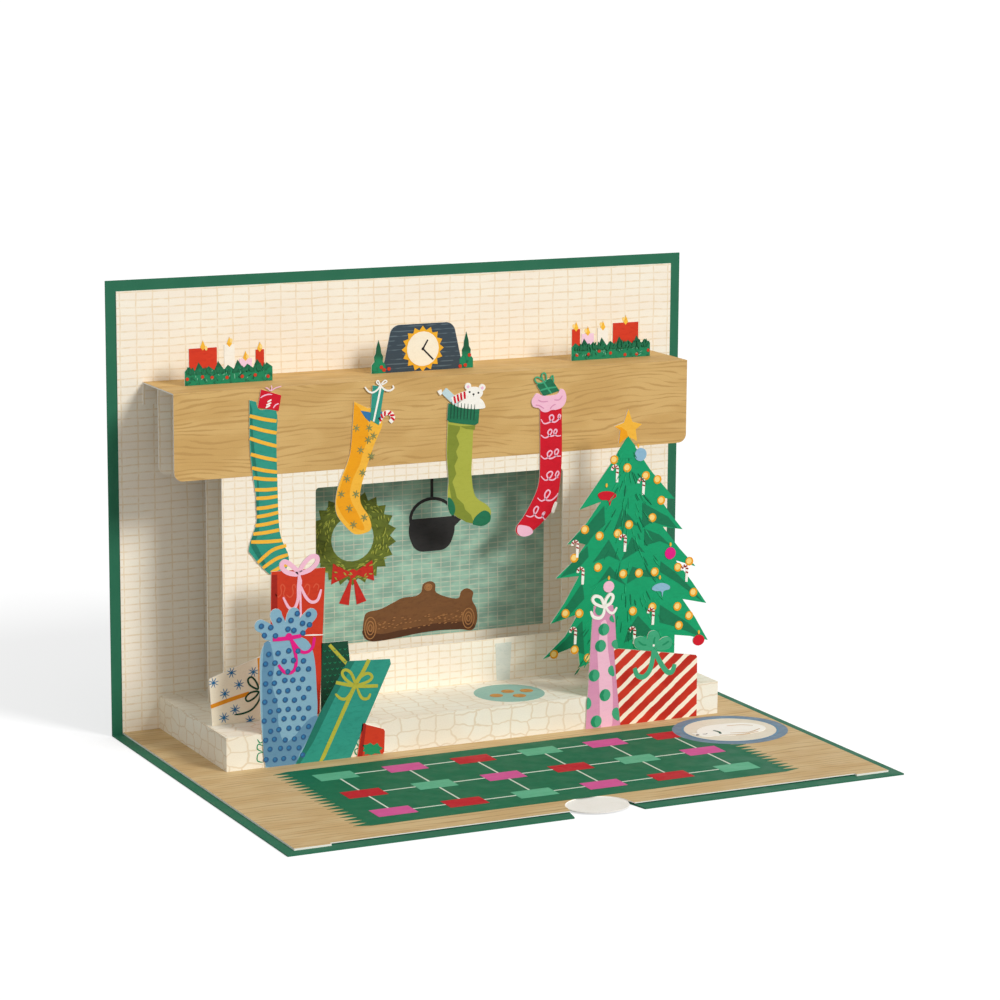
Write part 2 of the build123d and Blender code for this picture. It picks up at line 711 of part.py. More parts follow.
def make_kettle():
    """A black kettle on its chain, over the log; places are from the middle of its rim."""
    side = KETTLE_HALF_WIDTH
    rim = 0.9 * side
    base = 0.7 * side
    pot = flowing((-rim, 0), (-side, -4), (-base, -9.6), (base, -9.6), (side, -4), (rim, 0))
    handle = loop((-rim, 0), 2 * rim + RIBBON_WIDTH, 2 * KETTLE_HANDLE_HEIGHT, 0)
    spout = cornered((6, -4), (11.2, 0.6), (9.4, 1.2), (5.6, -1))
    chain = ribbon((0, KETTLE_HANDLE_HEIGHT), (0, KETTLE_HANDLE_HEIGHT + CHAIN_LENGTH))
    hung = firebox_spot(KETTLE_ACROSS, KETTLE_UP + 4) * (pot + handle + spout + chain)
    return print_on(hung & firebox(), MIDDLE_DISTANCE, 1)


def make_log():
    """The logs, stacked crosswise, with the stubs of two branches."""
    logs = cornered(
        (-18.6, 6.2),
        (-17.4, 8.4),
        (-8.5, 9.4),
        (-6.2, 12.2),
        (-0.4, 12.4),
        (0.9, 15.8),
        (3.6, 15.4),
        (3.6, 12.4),
        (12.5, 8.8),
        (14.2, 11.7),
        (16.8, 11.4),
        (15.8, 7.8),
        (17.4, 4.6),
        (15.6, 0.5),
        (0.5, 3.3),
        (-17.6, 0.7),
    )
    return print_on(firebox_spot(LOG_ACROSS, 0) * logs, MIDDLE_DISTANCE, 1)


def make_milk_glass():
    """The glass of milk printed on the chimney, a little wider at its rim."""
    foot_half = MILK_FOOT_WIDTH / 2
    half = MILK_WIDTH / 2
    glass = cornered((-foot_half, 0), (foot_half, 0), (half, MILK_HEIGHT), (-half, MILK_HEIGHT))
    return print_on(Pos(MILK_PLACE, HEARTH_HEIGHT) * glass, MANTEL_DEPTH)


# Stockings

def hung(place, drawing):
    """A drawing that hangs from the shelf's upper edge at that place across the card."""
    return Pos(place, MANTEL_HEIGHT) * drawing


def striped_leg():
    return flowing(
        (-4.1, -4.2),
        (-3.9, -17.2),
        (-2.2, -31.1),
        (-2.3, -36.5),
        (-3.8, -43),
        (0.4, -50.2),
        (6.2, -51.2),
        (7.6, -47),
        (5.0, -40),
        (4.5, -26.1),
        (4.2, -6.7),
    )


def striped_gift():
    return cornered((-0.9, -0.3), (5, -2.1), (3.8, -6.8), (-2, -5.5))


def starred_leg():
    return flowing(
        (-3.5, -5.9),
        (-4.6, -15.5),
        (-7.4, -24),
        (-8.8, -31.3),
        (-8, -36.8),
        (-2.7, -41.9),
        (1, -39.8),
        (-0.9, -32.9),
        (0.6, -26),
        (4.1, -16.1),
        (5.2, -9),
    )


def starred_gift():
    return cornered((2, -1.8), (5.8, -2.5), (2.8, -13), (0.3, -10.8), (-1.6, -8), (-0.2, -4))


def starred_cane():
    """The crook of the candy cane beside the gift: half a ring, its left end drawn on down."""
    ring = dot(CANE_RADIUS) - dot(CANE_RADIUS - CANE_WIDTH)
    crook = ring - between((-CANE_RADIUS, -CANE_RADIUS), (CANE_RADIUS, -CANE_RADIUS / 4))
    staff = between((-CANE_RADIUS, -CANE_RADIUS), (CANE_WIDTH - CANE_RADIUS, 0))
    return Pos(5.9, -11.6) * (crook + staff)


def ribbed_leg():
    return flowing(
        (-5.1, -8),
        (-5.3, -23),
        (-4.8, -33.3),
        (-2.6, -38.8),
        (3.4, -42.2),
        (8.2, -41.4),
        (7, -38),
        (3.2, -33),
        (2.9, -23.7),
        (3.4, -9),
    )


def ribbed_cuff():
    return rounded(CUFF_CORNER, (-5, -6.3), (-5.2, -12), (4.6, -13.4), (5.1, -8.4))


def ribbed_toe():
    """The darker toe and heel."""
    toe = between((5, -44), (10, -35))
    heel = between((-6, -40), (-3.4, -34))
    return ribbed_leg() & (toe + heel)


def ribbed_toy():
    """A plain toy bear that looks out of the stocking, with a sweet beside it."""
    head = Pos(3.4, -4.2) * dot(TOY_HEAD_RADIUS)
    ears = all_at(((1.3, -2.2), (5.8, -2.4)), dot(TOY_EAR_RADIUS))
    body = between((0.2, -8.6), (6, -5.2))
    sweet = ribbon((-5.6, -3.9), (-0.6, -8.4), SWEET_WIDTH)
    return head + ears + body + sweet


def curled_leg():
    return flowing(
        (-3.1, -8),
        (-3.1, -25.1),
        (-3.9, -34.4),
        (-8, -41),
        (-10, -44.6),
        (-7.4, -46.6),
        (-1.8, -43.8),
        (2.6, -38),
        (4, -25.6),
        (4, -8),
    )


def curled_cuff():
    """The fluffy cuff, a row of round tufts."""
    tufts = ((-4.2, -7.6), (-1.8, -9.3), (1.2, -8.9), (3.9, -8.6), (3.2, -6.6), (-0.6, -7.2), (-2.4, -6.6))
    return all_at(tufts, dot(TUFT_RADIUS))


def curled_toe():
    return curled_leg() & Pos(-9, -46) * dot(CURLED_TOE_RADIUS)


def curled_gift():
    return cornered((-4.1, -4.1), (0.4, -1.6), (3.1, -5.4), (1.6, -7.2), (-2.6, -7.2))


def stocking_stripes():
    """The stripes of the first stocking: level on the leg, and slanting on the foot."""
    places = []
    for step in range(LEG_STRIPES):
        places.append(Pos(0, -7.6 - STRIPE_PITCH * step) * Rot(0, 0, LEG_STRIPE_TURN))
    for step in range(FOOT_STRIPES):
        places.append(Pos(1.5 + 1.2 * step, -43.6 - 2.6 * step) * Rot(0, 0, FOOT_STRIPE_TURN))
    leg = striped_leg()
    across = 2 * leg.bounding_box().size.X
    bars = Sketch() + [place * Rectangle(across, STRIPE_WIDTH) for place in places]
    return hung(STRIPED_STOCKING_PLACE, leg & bars)


def make_stocking_gifts():
    """The gifts that stick out of three stockings."""
    gifts = hung(STRIPED_STOCKING_PLACE, striped_gift() - striped_leg())
    gifts += hung(STARRED_STOCKING_PLACE, starred_gift() - starred_leg())
    gifts += hung(CURLED_STOCKING_PLACE, curled_gift() - curled_cuff())
    return print_on(gifts, STOCKING_DISTANCE)


def make_green_cuff():
    return print_on(hung(RIBBED_STOCKING_PLACE, ribbed_cuff() + ribbed_toe()), STOCKING_DISTANCE)


def make_pink_cuff():
    return print_on(hung(CURLED_STOCKING_PLACE, curled_cuff() + curled_toe()), STOCKING_DISTANCE)


def make_stocking_toy():
    toy = ribbed_toy() - ribbed_cuff() - ribbed_leg()
    return print_on(hung(RIBBED_STOCKING_PLACE, toy), STOCKING_DISTANCE)


def make_stocking(place, drawing):
    return upright(hung(place, drawing), STOCKING_DISTANCE)


# Tree

def on_tree(drawing):
    """A drawing placed from the tree's foot, on the hearth."""
    return Pos(TREE_PLACE, HEARTH_HEIGHT) * drawing


def tree_star():
    return Pos(0, STAR_HEIGHT) * star(5, STAR_RADIUS, STAR_NOTCH_RADIUS)


def drop():
    """A flat hanging ornament with a small point below."""
    half = DROP_HEIGHT / 2
    point = cornered((-DROP_POINT / 2, 0), (DROP_POINT / 2, 0), (0, -half - DROP_POINT))
    return oval(DROP_LENGTH / 2, half) + point


def make_tree():
    """The tree is one die-cut sheet with its star, trunk and tongue."""
    branches = cornered(*TREE_RIGHT, TREE_TOP, *TREE_LEFT)
    trunk = between((-TRUNK_WIDTH / 2, -SHEET_THICKNESS), (TRUNK_WIDTH / 2, TREE_RIGHT[0][1]))
    face = on_tree(branches + tree_star() + trunk + outer_ornaments()) + tab(TREE_PLACE, TRUNK_WIDTH)
    return upright(face, TREE_DISTANCE) + foot(TREE_PLACE, TRUNK_WIDTH, TREE_DISTANCE)


def outer_ornaments():
    """The ornaments that reach past the tree's edge, and so shape the sheet too."""
    return all_at((RED_BALL, BLUE_BALL), dot(ORNAMENT_RADIUS))


def make_tree_gold():
    gold = tree_star() + all_at(GOLD_BAUBLES, dot(BAUBLE_RADIUS)) - outer_ornaments()
    return print_on(on_tree(gold), TREE_DISTANCE)


def make_tree_red():
    red = Pos(*RED_BALL) * dot(ORNAMENT_RADIUS) + Pos(*RED_DROP) * drop()
    return print_on(on_tree(red), TREE_DISTANCE)


def make_tree_blue():
    blue = Pos(*BLUE_BALL) * dot(ORNAMENT_RADIUS) + Pos(*BLUE_DROP) * drop()
    return print_on(on_tree(blue), TREE_DISTANCE)


def make_tree_pink():
    return print_on(on_tree(all_at(PINK_BALLS, dot(PINK_BALL_RADIUS))), TREE_DISTANCE)


# Gifts of the back row, drawn from their left end and the hearth's top

def back_gift_tabs():
    """The middles of the two tongues under the back row."""
    return [BACK_GIFTS_PLACE + place for place in BACK_GIFTS_TAB_PLACES]


def at_back(drawing):
    return Pos(BACK_GIFTS_PLACE, HEARTH_HEIGHT) * drawing


def tall_bow():
    """The bow that rises above the tall box: two loops, by their length, width and turn."""
    return loop(TALL_KNOT, 5.8, 3.8, 150) + loop(TALL_KNOT, 7.2, 3.9, 32)


def make_gifts_back():
    """The back row is one die-cut sheet: a low box, a tall box and a narrow one."""
    boxes = cornered(*SNOW_BOX) + cornered(*TALL_BOX) + cornered(*DARK_BOX) + tall_bow()
    face = at_back(boxes)
    sheet = Part()
    for centre in back_gift_tabs():
        face += tab(centre, BACK_GIFTS_TAB)
        sheet += foot(centre, BACK_GIFTS_TAB, TREE_DISTANCE)
    return sheet + upright(face, TREE_DISTANCE)


def make_gift_tall():
    return print_on(at_back(cornered(*TALL_BOX) - tall_bow()), TREE_DISTANCE)


def make_gift_dark():
    return print_on(at_back(cornered(*DARK_BOX) - cornered(*TALL_BOX)), TREE_DISTANCE)


def make_ribbons_back():
    """The tall box's bow and ribbon, and the two bands of the low box."""
    bands = ribbon((0.3, 7.2), (17.2, 11.4)) + ribbon((14.2, 0), (14.4, 17.6))
    low = tall_bow() + (bands & (cornered(*SNOW_BOX) - cornered(*TALL_BOX)))
    upper = ribbon(TALL_KNOT, TALL_RIBBON_FOOT) - tall_bow()
    return print_on(at_back(low), TREE_DISTANCE) + print_on(at_back(upper), TREE_DISTANCE, 1)


# Gifts in front of the hearth, drawn from their left end and the floor

def at_front_left(drawing):
    return Pos(FRONT_LEFT_PLACE, 0) * drawing


def bag():
    """The tied bag: a full body and four lobes of cloth above its knot."""
    body = flowing(
        (2.7, 0),
        (1.6, 21),
        (2.2, 31.6),
        (5.4, 34.2),
        (13.6, 34.4),
        (16.9, 29.4),
        (18, 14),
        (14, 0),
    )
    lobes = Sketch() + [capsule(BAG_KNOT, lobe, BAG_LOBE_RADIUS) for lobe in BAG_LOBES]
    return body + lobes


def make_gifts_front_left():
    """One die-cut sheet glued to the hearth's front: the bag, a leaning box and a small one."""
    face = bag() + cornered(*LEANING_BOX) + cornered(*SMALL_BOX)
    return upright(at_front_left(face), FRONT_GIFTS_DISTANCE)


def make_gift_leaning():
    return print_on(at_front_left(cornered(*LEANING_BOX)), FRONT_GIFTS_DISTANCE)


def make_gift_small():
    return print_on(at_front_left(cornered(*SMALL_BOX) - cornered(*LEANING_BOX)), FRONT_GIFTS_DISTANCE)


def make_ribbons_front_left():
    """The bag's tie, and the leaning box's cross of ribbon."""
    tie = ribbon((4.2, 33.4), (14, 34.2), WIDE_RIBBON)
    cross = ribbon((18.4, 0), (33.6, 26.1), WIDE_RIBBON) + ribbon((24.2, 17.8), (35.4, 17.6))
    cross = cross & cornered(*LEANING_BOX)
    low = print_on(at_front_left(tie), FRONT_GIFTS_DISTANCE)
    return low + print_on(at_front_left(cross), FRONT_GIFTS_DISTANCE, 1)


def at_front_right(drawing):
    return Pos(FRONT_RIGHT_PLACE, 0) * drawing


def bottle():
    return rounded(BOTTLE_CORNER, *BOTTLE)


def bottle_bow():
    """The bottle's bow: two loops, by their length, width and turn."""
    return loop(BOTTLE_KNOT, 4.4, 3, 140) + loop(BOTTLE_KNOT, 4.8, 3, 52)


def box_bow():
    """The striped box's bow: three solid loops above the knot."""
    bow = Sketch()
    for turn in BOX_LOOP_TURNS:
        outward = Rot(0, 0, turn) * Pos(BOX_LOOP_LENGTH / 2, 0)
        bow += Pos(*BOX_KNOT) * outward * oval(BOX_LOOP_LENGTH / 2, BOX_LOOP_WIDTH / 2)
    return bow


def make_gifts_front_right():
    """One die-cut sheet glued to the hearth's front: a wrapped bottle and a striped box."""
    face = bottle() + cornered(*STRIPED_BOX) + bottle_bow() + box_bow()
    return upright(at_front_right(face), FRONT_GIFTS_DISTANCE)


def make_gift_bottle():
    return print_on(at_front_right(bottle() - bottle_bow()), FRONT_GIFTS_DISTANCE)


def make_gift_stripes():
    """The slanting stripes of the box, counted to both sides of its middle."""
    box = cornered(*STRIPED_BOX)
    span = box.bounding_box()
    bars = Sketch()
    for step in range(BOX_STRIPES):
        shift = (step - (BOX_STRIPES - 1) / 2) * BOX_STRIPE_PITCH
        middle = Pos(span.center().X + shift, span.center().Y)
        bars += middle * Rot(0, 0, 45) * Rectangle(2 * span.size.X, BOX_STRIPE_WIDTH)
    return print_on(at_front_right((box & bars) - bottle() - box_bow()), FRONT_GIFTS_DISTANCE)


def make_ribbons_front_right():
    return print_on(at_front_right(bottle_bow() + box_bow()), FRONT_GIFTS_DISTANCE)


# Prints on the floor page and on the hearth

def bed():
    return Pos(BED_PLACE, -BED_DISTANCE) * oval(BED_WIDTH / 2, BED_LENGTH / 2)


def rug():
    """The rug, with a row of pointed tassels at each short end."""
    half = RUG_WIDTH / 2
    near = -RUG_DISTANCE - RUG_LENGTH
    pitch = RUG_LENGTH / RUG_TASSELS
    right = []
    for step in range(RUG_TASSELS):
        right.append((half, near + step * pitch))
        right.append((half + RUG_FRINGE, near + (step + 0.5) * pitch))
    right.append((half, -RUG_DISTANCE))
    left = [(-across, along) for across, along in reversed(right)]
    return cornered(*right, *left)


def rug_spot(column, row):
    """The middle of one block of the rug's regular pattern."""
    across = (column - (RUG_COLUMNS - 1) / 2) * RUG_WIDTH / RUG_COLUMNS
    along = (row - (RUG_ROWS - 1) / 2) * RUG_LENGTH / RUG_ROWS
    return (across, -RUG_DISTANCE - RUG_LENGTH / 2 + along)


def rug_blocks(colour):
    """Every third block of the pattern, counted along the rows and set off by one in each next row."""
    places = []
    for column in range(RUG_COLUMNS):
        for row in range(RUG_ROWS):
            if (column + row) % 3 == colour:
                places.append(rug_spot(column, row))
    return all_at(places, Rectangle(RUG_BLOCK_WIDTH, RUG_BLOCK_LENGTH)) - bed()


def rug_lines():
    """The thin lines that join the blocks of each row and of each column."""
    lines = Sketch()
    for row in range(RUG_ROWS):
        lines += ribbon(rug_spot(0, row), rug_spot(RUG_COLUMNS - 1, row), RUG_LINE)
    for column in range(RUG_COLUMNS):
        lines += ribbon(rug_spot(column, 0), rug_spot(column, RUG_ROWS - 1), RUG_LINE)
    for colour in range(3):
        lines -= rug_blocks(colour)
    return lines - bed()


def pet():
    """A small pet curled up asleep: its body, its head on its paws and its tail."""
    body = Rot(0, 0, -8) * oval(10.5, 6.2)
    head = Pos(-8.4, -1.6) * oval(3.4, 2.8)
    tail = Pos(3, -6.2) * Rot(0, 0, 17) * oval(5.4, 1.2)
    return Pos(BED_PLACE, -BED_DISTANCE) * (body + head + tail)


def on_floor(face, layer=0):
    return lying(face, layer * PRINT_THICKNESS, PRINT_THICKNESS)


def plate():
    return Pos(PLATE_PLACE, -PLATE_DISTANCE) * dot(PLATE_RADIUS)


def cookies():
    """Four biscuits on the plate."""
    places = ((-4.6, -1.2), (0.4, 1.8), (1.2, -4), (5.6, 0.4))
    return Pos(PLATE_PLACE, -PLATE_DISTANCE) * all_at(places, dot(BISCUIT_RADIUS))


def on_hearth(face, layer=0):
    return lying(face, HEARTH_HEIGHT + layer * PRINT_THICKNESS, PRINT_THICKNESS)


# The nodes

starred_sheet = starred_leg() + starred_gift() + starred_cane()
ribbed_sheet = ribbed_leg() + ribbed_cuff() + ribbed_toy()
curled_sheet = curled_leg() + curled_cuff() + curled_gift()

nodes = {
    "cover": make_cover(),
    "wall_page": make_wall_page(),
    "floor_page": make_floor_page(),
    "note_card": make_note_card(),
    "hearth": make_hearth(),
    "mantel_front": make_mantel_front(),
    "mantel_wood": make_mantel_wood(),
    "mid_panel": make_mid_panel(),
    "garland_leaves": print_on(garland_leaves(), MIDDLE_DISTANCE),
    "candle_flames": print_on(Sketch() + [candle_flame(candle) for candle in candles()], MIDDLE_DISTANCE),
    "clock_case": print_on(clock_case() - garland_leaves(), MIDDLE_DISTANCE),
    "clock_rim": print_on(clock_rim(), MIDDLE_DISTANCE, 1),
    "clock_dial": print_on(dial_place() * dot(DIAL_RADIUS), MIDDLE_DISTANCE, 2),
    "clock_hands": print_on(clock_hands(), MIDDLE_DISTANCE, 3),
    "firebox_tiles": make_firebox_tiles(),
    "wreath": make_wreath(),
    "wreath_bow": make_wreath_bow(),
    "kettle": make_kettle(),
    "log": make_log(),
    "milk_glass": make_milk_glass(),
    "stocking_striped": make_stocking(STRIPED_STOCKING_PLACE, striped_leg() + striped_gift()),
    "stocking_starred": make_stocking(STARRED_STOCKING_PLACE, starred_sheet),
    "stocking_ribbed": make_stocking(RIBBED_STOCKING_PLACE, ribbed_sheet),
    "stocking_curled": make_stocking(CURLED_STOCKING_PLACE, curled_sheet),
    "stocking_stripes": print_on(stocking_stripes(), STOCKING_DISTANCE),
    "stocking_gifts": make_stocking_gifts(),
    "stocking_green_cuff": make_green_cuff(),
    "stocking_pink_cuff": make_pink_cuff(),
    "stocking_toy": make_stocking_toy(),
    "tree": make_tree(),
    "tree_gold": make_tree_gold(),
    "tree_red": make_tree_red(),
    "tree_blue": make_tree_blue(),
    "tree_pink": make_tree_pink(),
    "gifts_back": make_gifts_back(),
    "gift_tall": make_gift_tall(),
    "gift_dark": make_gift_dark(),
    "ribbons_back": make_ribbons_back(),
    "gifts_front_left": make_gifts_front_left(),
    "gift_leaning": make_gift_leaning(),
    "gift_small": make_gift_small(),
    "ribbons_front_left": make_ribbons_front_left(),
    "gifts_front_right": make_gifts_front_right(),
    "gift_bottle": make_gift_bottle(),
    "gift_stripes": make_gift_stripes(),
    "ribbons_front_right": make_ribbons_front_right(),
    "rug": on_floor(rug() - bed()),
    "rug_blocks_pink": on_floor(rug_blocks(0), 1),
    "rug_blocks_red": on_floor(rug_blocks(1), 1),
    "rug_blocks_green": on_floor(rug_blocks(2), 1),
    "rug_lines": on_floor(rug_lines(), 1),
    "pet_bed": on_floor(bed()),
    "pet": on_floor(pet(), 1),
    "plate": on_hearth(plate()),
    "cookies": on_hearth(cookies(), 1),
}
for colour in ("red", "white", "pink"):
    wax = Sketch() + [candle_body(candle) - candle_flame(candle) for candle in candles(colour)]
    nodes["candles_" + colour] = print_on(wax - garland_leaves(), MIDDLE_DISTANCE)

for name, shape in nodes.items():
    export_step(shape, "parts/" + name + ".step")
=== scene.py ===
# %% [markdown]
# A pop-up greeting card stands open at a right angle: one leaf lies on the table, the other is the wall of a room.
# Everything in the room is a flat sheet of printed card. The solids come packed, in their places, as the frame.
# They keep their shape. This script gives them their printing, and adds the drawn marks as thin films of ink.

# %% The frame
from functools import partial

import bpy
import numpy as np
from mathutils import Matrix, Vector


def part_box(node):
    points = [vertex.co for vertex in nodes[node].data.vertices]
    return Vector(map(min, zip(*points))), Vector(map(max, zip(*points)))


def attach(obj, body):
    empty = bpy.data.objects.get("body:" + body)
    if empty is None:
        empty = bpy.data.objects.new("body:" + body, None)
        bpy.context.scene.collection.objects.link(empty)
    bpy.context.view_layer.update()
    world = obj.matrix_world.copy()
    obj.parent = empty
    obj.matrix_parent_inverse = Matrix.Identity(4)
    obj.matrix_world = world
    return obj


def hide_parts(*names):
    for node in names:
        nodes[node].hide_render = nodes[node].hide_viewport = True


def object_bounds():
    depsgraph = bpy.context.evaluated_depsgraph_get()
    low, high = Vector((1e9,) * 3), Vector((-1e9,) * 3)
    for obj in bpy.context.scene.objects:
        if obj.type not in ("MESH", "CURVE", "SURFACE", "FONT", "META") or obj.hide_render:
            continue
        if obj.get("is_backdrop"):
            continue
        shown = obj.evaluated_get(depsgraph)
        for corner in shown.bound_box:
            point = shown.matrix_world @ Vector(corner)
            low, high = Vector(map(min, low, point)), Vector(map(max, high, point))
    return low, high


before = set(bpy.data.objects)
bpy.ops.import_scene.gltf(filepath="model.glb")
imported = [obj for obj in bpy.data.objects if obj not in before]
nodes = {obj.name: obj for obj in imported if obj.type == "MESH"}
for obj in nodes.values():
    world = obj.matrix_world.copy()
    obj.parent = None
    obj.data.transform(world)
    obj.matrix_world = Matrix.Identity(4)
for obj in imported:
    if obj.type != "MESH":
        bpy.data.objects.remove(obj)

cad_low, cad_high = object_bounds()
print("nodes of the card:", len(nodes))
print("size in millimetres:", [round(1000 * side, 1) for side in cad_high - cad_low])

# %% [markdown]
# A card's designer draws each sheet flat and then says how far in front of the wall it stands.
# The same three numbers serve here: the place across the card, the height over the floor page, and the distance.
# Both origins are read from the frame, so that the drawings stay on their sheets.

# %% Where the drawings go
MM = 0.001
WALL_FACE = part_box("wall_page")[0].y
FLOOR_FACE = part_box("floor_page")[1].z

MARGIN_WIDTH = 1000 * (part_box("wall_page")[0].x - cad_low.x)
print("wall face at y", round(WALL_FACE, 5), "and floor face at z", round(FLOOR_FACE, 5))
print("the cover shows for", round(MARGIN_WIDTH, 2), "mm round the pages")

# %% [markdown]
# Printing inks are named by the red, green and blue that a screen shows, from 0 to 255.
# Blender's shaders count light instead, so each ink goes through the usual screen curve once, here.

# %% Inks


def ink(red, green, blue):
    """The linear colour of a screen colour: each part is divided by 255, and then ((part + 0.055) / 1.055) ** 2.4."""
    parts = np.array([red, green, blue]) / 255
    linear = np.where(parts <= 0.04045, parts / 12.92, ((parts + 0.055) / 1.055) ** 2.4)
    return (*linear.tolist(), 1.0)


PAPER_WHITE = ink(244, 240, 232)
print("paper white in linear light:", [round(part, 3) for part in PAPER_WHITE])

# %% [markdown]
# A material is a small network. Helpers keep the cells short. The first adds a box and plugs in what it is given, and
# the others build on it: a sum, a ramp, a mix of two colours, a place and a soft noise. The last two make a group and
# put it into a network.

# %% Helpers for networks


def box_of(tree, kind, inputs=None, **settings):
    """Adds a node of that kind; each input is a number, a colour or another node's socket."""
    node = tree.nodes.new("ShaderNode" + kind)
    for name, value in settings.items():
        setattr(node, name, value)
    for name, value in (inputs or {}).items():
        if isinstance(value, bpy.types.NodeSocket):
            tree.links.new(value, node.inputs[name])
        else:
            node.inputs[name].default_value = value
    return node


def calc(tree, operation, first, second=0.0, third=0.0):
    """One sum of up to three numbers or sockets."""
    return box_of(tree, "Math", {0: first, 1: second, 2: third}, operation=operation).outputs[0]


def ramp(tree, value, start, end, low=0.0, high=1.0):
    """Goes smoothly from low to high while the value goes from start to end."""
    inputs = {0: value, 1: start, 2: end, 3: low, 4: high}
    return box_of(tree, "MapRange", inputs, interpolation_type="SMOOTHSTEP").outputs[0]


def mixed(tree, mask, under, over, blend="MIX"):
    """The colour under where the mask is 0, and the colour over where it is 1."""
    inputs = {0: mask, 6: under, 7: over}
    return box_of(tree, "Mix", inputs, data_type="RGBA", blend_type=blend).outputs[2]


def flat_place(tree, across, up, across_scale=1.0, up_scale=1.0):
    """A place on the sheet as a vector, each way with its own scale."""
    inputs = {0: calc(tree, "MULTIPLY", across, across_scale), 1: calc(tree, "MULTIPLY", up, up_scale)}
    return box_of(tree, "CombineXYZ", inputs).outputs[0]


def cloud(tree, place, scale=1.0, detail=2.0):
    """A soft random value around a half, the same each time."""
    inputs = {"Vector": place, "Scale": scale, "Detail": detail}
    return box_of(tree, "TexNoise", inputs, noise_dimensions="3D").outputs[0]


def new_group(name, inputs, outputs):
    """An empty node group with those sockets; it gives back the tree, its inputs and its outputs."""
    tree = bpy.data.node_groups.new(name, "ShaderNodeTree")
    for title, start in inputs.items():
        socket = tree.interface.new_socket(title, in_out="INPUT", socket_type="NodeSocketFloat")
        socket.default_value = start
    for title in outputs:
        tree.interface.new_socket(title, in_out="OUTPUT", socket_type="NodeSocketFloat")
    entry = tree.nodes.new("NodeGroupInput")
    leave = tree.nodes.new("NodeGroupOutput")
    print(name, "takes", list(inputs), "and gives", outputs)
    return tree, entry.outputs, leave.inputs


def use_group(tree, group, inputs=None):
    """Places a group in a tree and gives back its outputs."""
    node = tree.nodes.new("ShaderNodeGroup")
    node.node_tree = group
    for name, value in (inputs or {}).items():
        if isinstance(value, bpy.types.NodeSocket):
            tree.links.new(value, node.inputs[name])
        else:
            node.inputs[name].default_value = value
    return node.outputs


print("helpers ready")

# %% [markdown]
# A print follows its sheet. On a sheet that stands, it runs across and up; on one that lies, across and back;
# on the hearth's and mantel's cheeks, back and up. A UV map would do it, but the sheets lie square to the axes,
# so the place in millimetres and the way the face looks say the same, with no seams to keep in line.

# %% The place on a sheet
sheet_place, entry, leave = new_group("sheet_place", {}, ["Across", "Up", "Front", "Level", "Side"])
here = box_of(sheet_place, "TexCoord").outputs["Object"]
spot = box_of(sheet_place, "VectorMath", {0: here, "Scale": 1000.0}, operation="SCALE").outputs[0]
spot = box_of(sheet_place, "SeparateXYZ", {0: spot}).outputs
FACING = 0.6
look = box_of(sheet_place, "SeparateXYZ", {0: box_of(sheet_place, "NewGeometry").outputs["True Normal"]}).outputs
side = calc(sheet_place, "GREATER_THAN", calc(sheet_place, "ABSOLUTE", look[0]), FACING)
level = calc(sheet_place, "GREATER_THAN", look[2], FACING)
lying = calc(sheet_place, "GREATER_THAN", calc(sheet_place, "ABSOLUTE", look[2]), FACING)


def chosen(tree, mask, low, high):
    """The low value where the mask is 0, and the high one where it is 1."""
    return calc(tree, "MULTIPLY_ADD", mask, calc(tree, "SUBTRACT", high, low), low)


sheet_place.links.new(chosen(sheet_place, side, spot[0], spot[1]), leave["Across"])
sheet_place.links.new(chosen(sheet_place, lying, spot[2], spot[1]), leave["Up"])
sheet_place.links.new(calc(sheet_place, "LESS_THAN", look[1], -FACING), leave["Front"])
sheet_place.links.new(level, leave["Level"])
sheet_place.links.new(side, leave["Side"])

# %% [markdown]
# Card is pressed pulp: close up it has a faint tooth, and its shine is uneven. A scan of card could be laid over it,
# but a fine noise has no edge and repeats nowhere. One group gives both tooth and shine to every sheet.

# %% The tooth of the card
card_tooth, entry, leave = new_group("card_tooth", {"Across": 0.0, "Up": 0.0}, ["Height", "Shine", "Tone"])
place = flat_place(card_tooth, entry["Across"], entry["Up"])
fine = cloud(card_tooth, place, 3.2, 3.0)
broad = cloud(card_tooth, place, 0.16, 2.0)
card_tooth.links.new(fine, leave["Height"])
card_tooth.links.new(ramp(card_tooth, broad, 0.3, 0.7, 0.56, 0.72), leave["Shine"])
card_tooth.links.new(ramp(card_tooth, fine, 0.3, 0.7, 0.97, 1.02), leave["Tone"])

# %% [markdown]
# The brickwork is drawn as a net of thin tan lines, ruled by hand: each line strays a little and presses
# unevenly. A brick texture has staggered joints and mortar of one width, so the net is worked out here instead.

# %% A net ruled by hand
ruled_net, entry, leave = new_group(
    "ruled_net",
    {"Across": 0.0, "Up": 0.0, "Column": 5.0, "Course": 2.1, "Line": 0.4, "Stray": 0.5},
    ["Lines"],
)
place = flat_place(ruled_net, entry["Across"], entry["Up"])
stray = box_of(ruled_net, "TexNoise", {"Vector": place, "Scale": 0.11, "Detail": 2.0}).outputs["Color"]
stray = box_of(ruled_net, "SeparateColor", {0: stray}).outputs
lines = []
for title, pitch, shift in (("Across", "Column", stray[0]), ("Up", "Course", stray[1])):
    shift = calc(ruled_net, "MULTIPLY", calc(ruled_net, "SUBTRACT", shift, 0.5), entry["Stray"])
    ruled = calc(ruled_net, "ADD", entry[title], shift)
    gap = calc(ruled_net, "PINGPONG", ruled, calc(ruled_net, "MULTIPLY", entry[pitch], 0.5))
    half = calc(ruled_net, "MULTIPLY", entry["Line"], 0.5)
    lines.append(
        ramp(
            ruled_net, gap, calc(ruled_net, "MULTIPLY", half, 0.3), calc(ruled_net, "MULTIPLY", half, 1.7), 1.0, 0.0,
        ),
    )
pressed = ramp(ruled_net, cloud(ruled_net, place, 0.45, 2.0), 0.35, 0.65, 0.45, 1.0)
net = calc(ruled_net, "MAXIMUM", lines[0], lines[1])
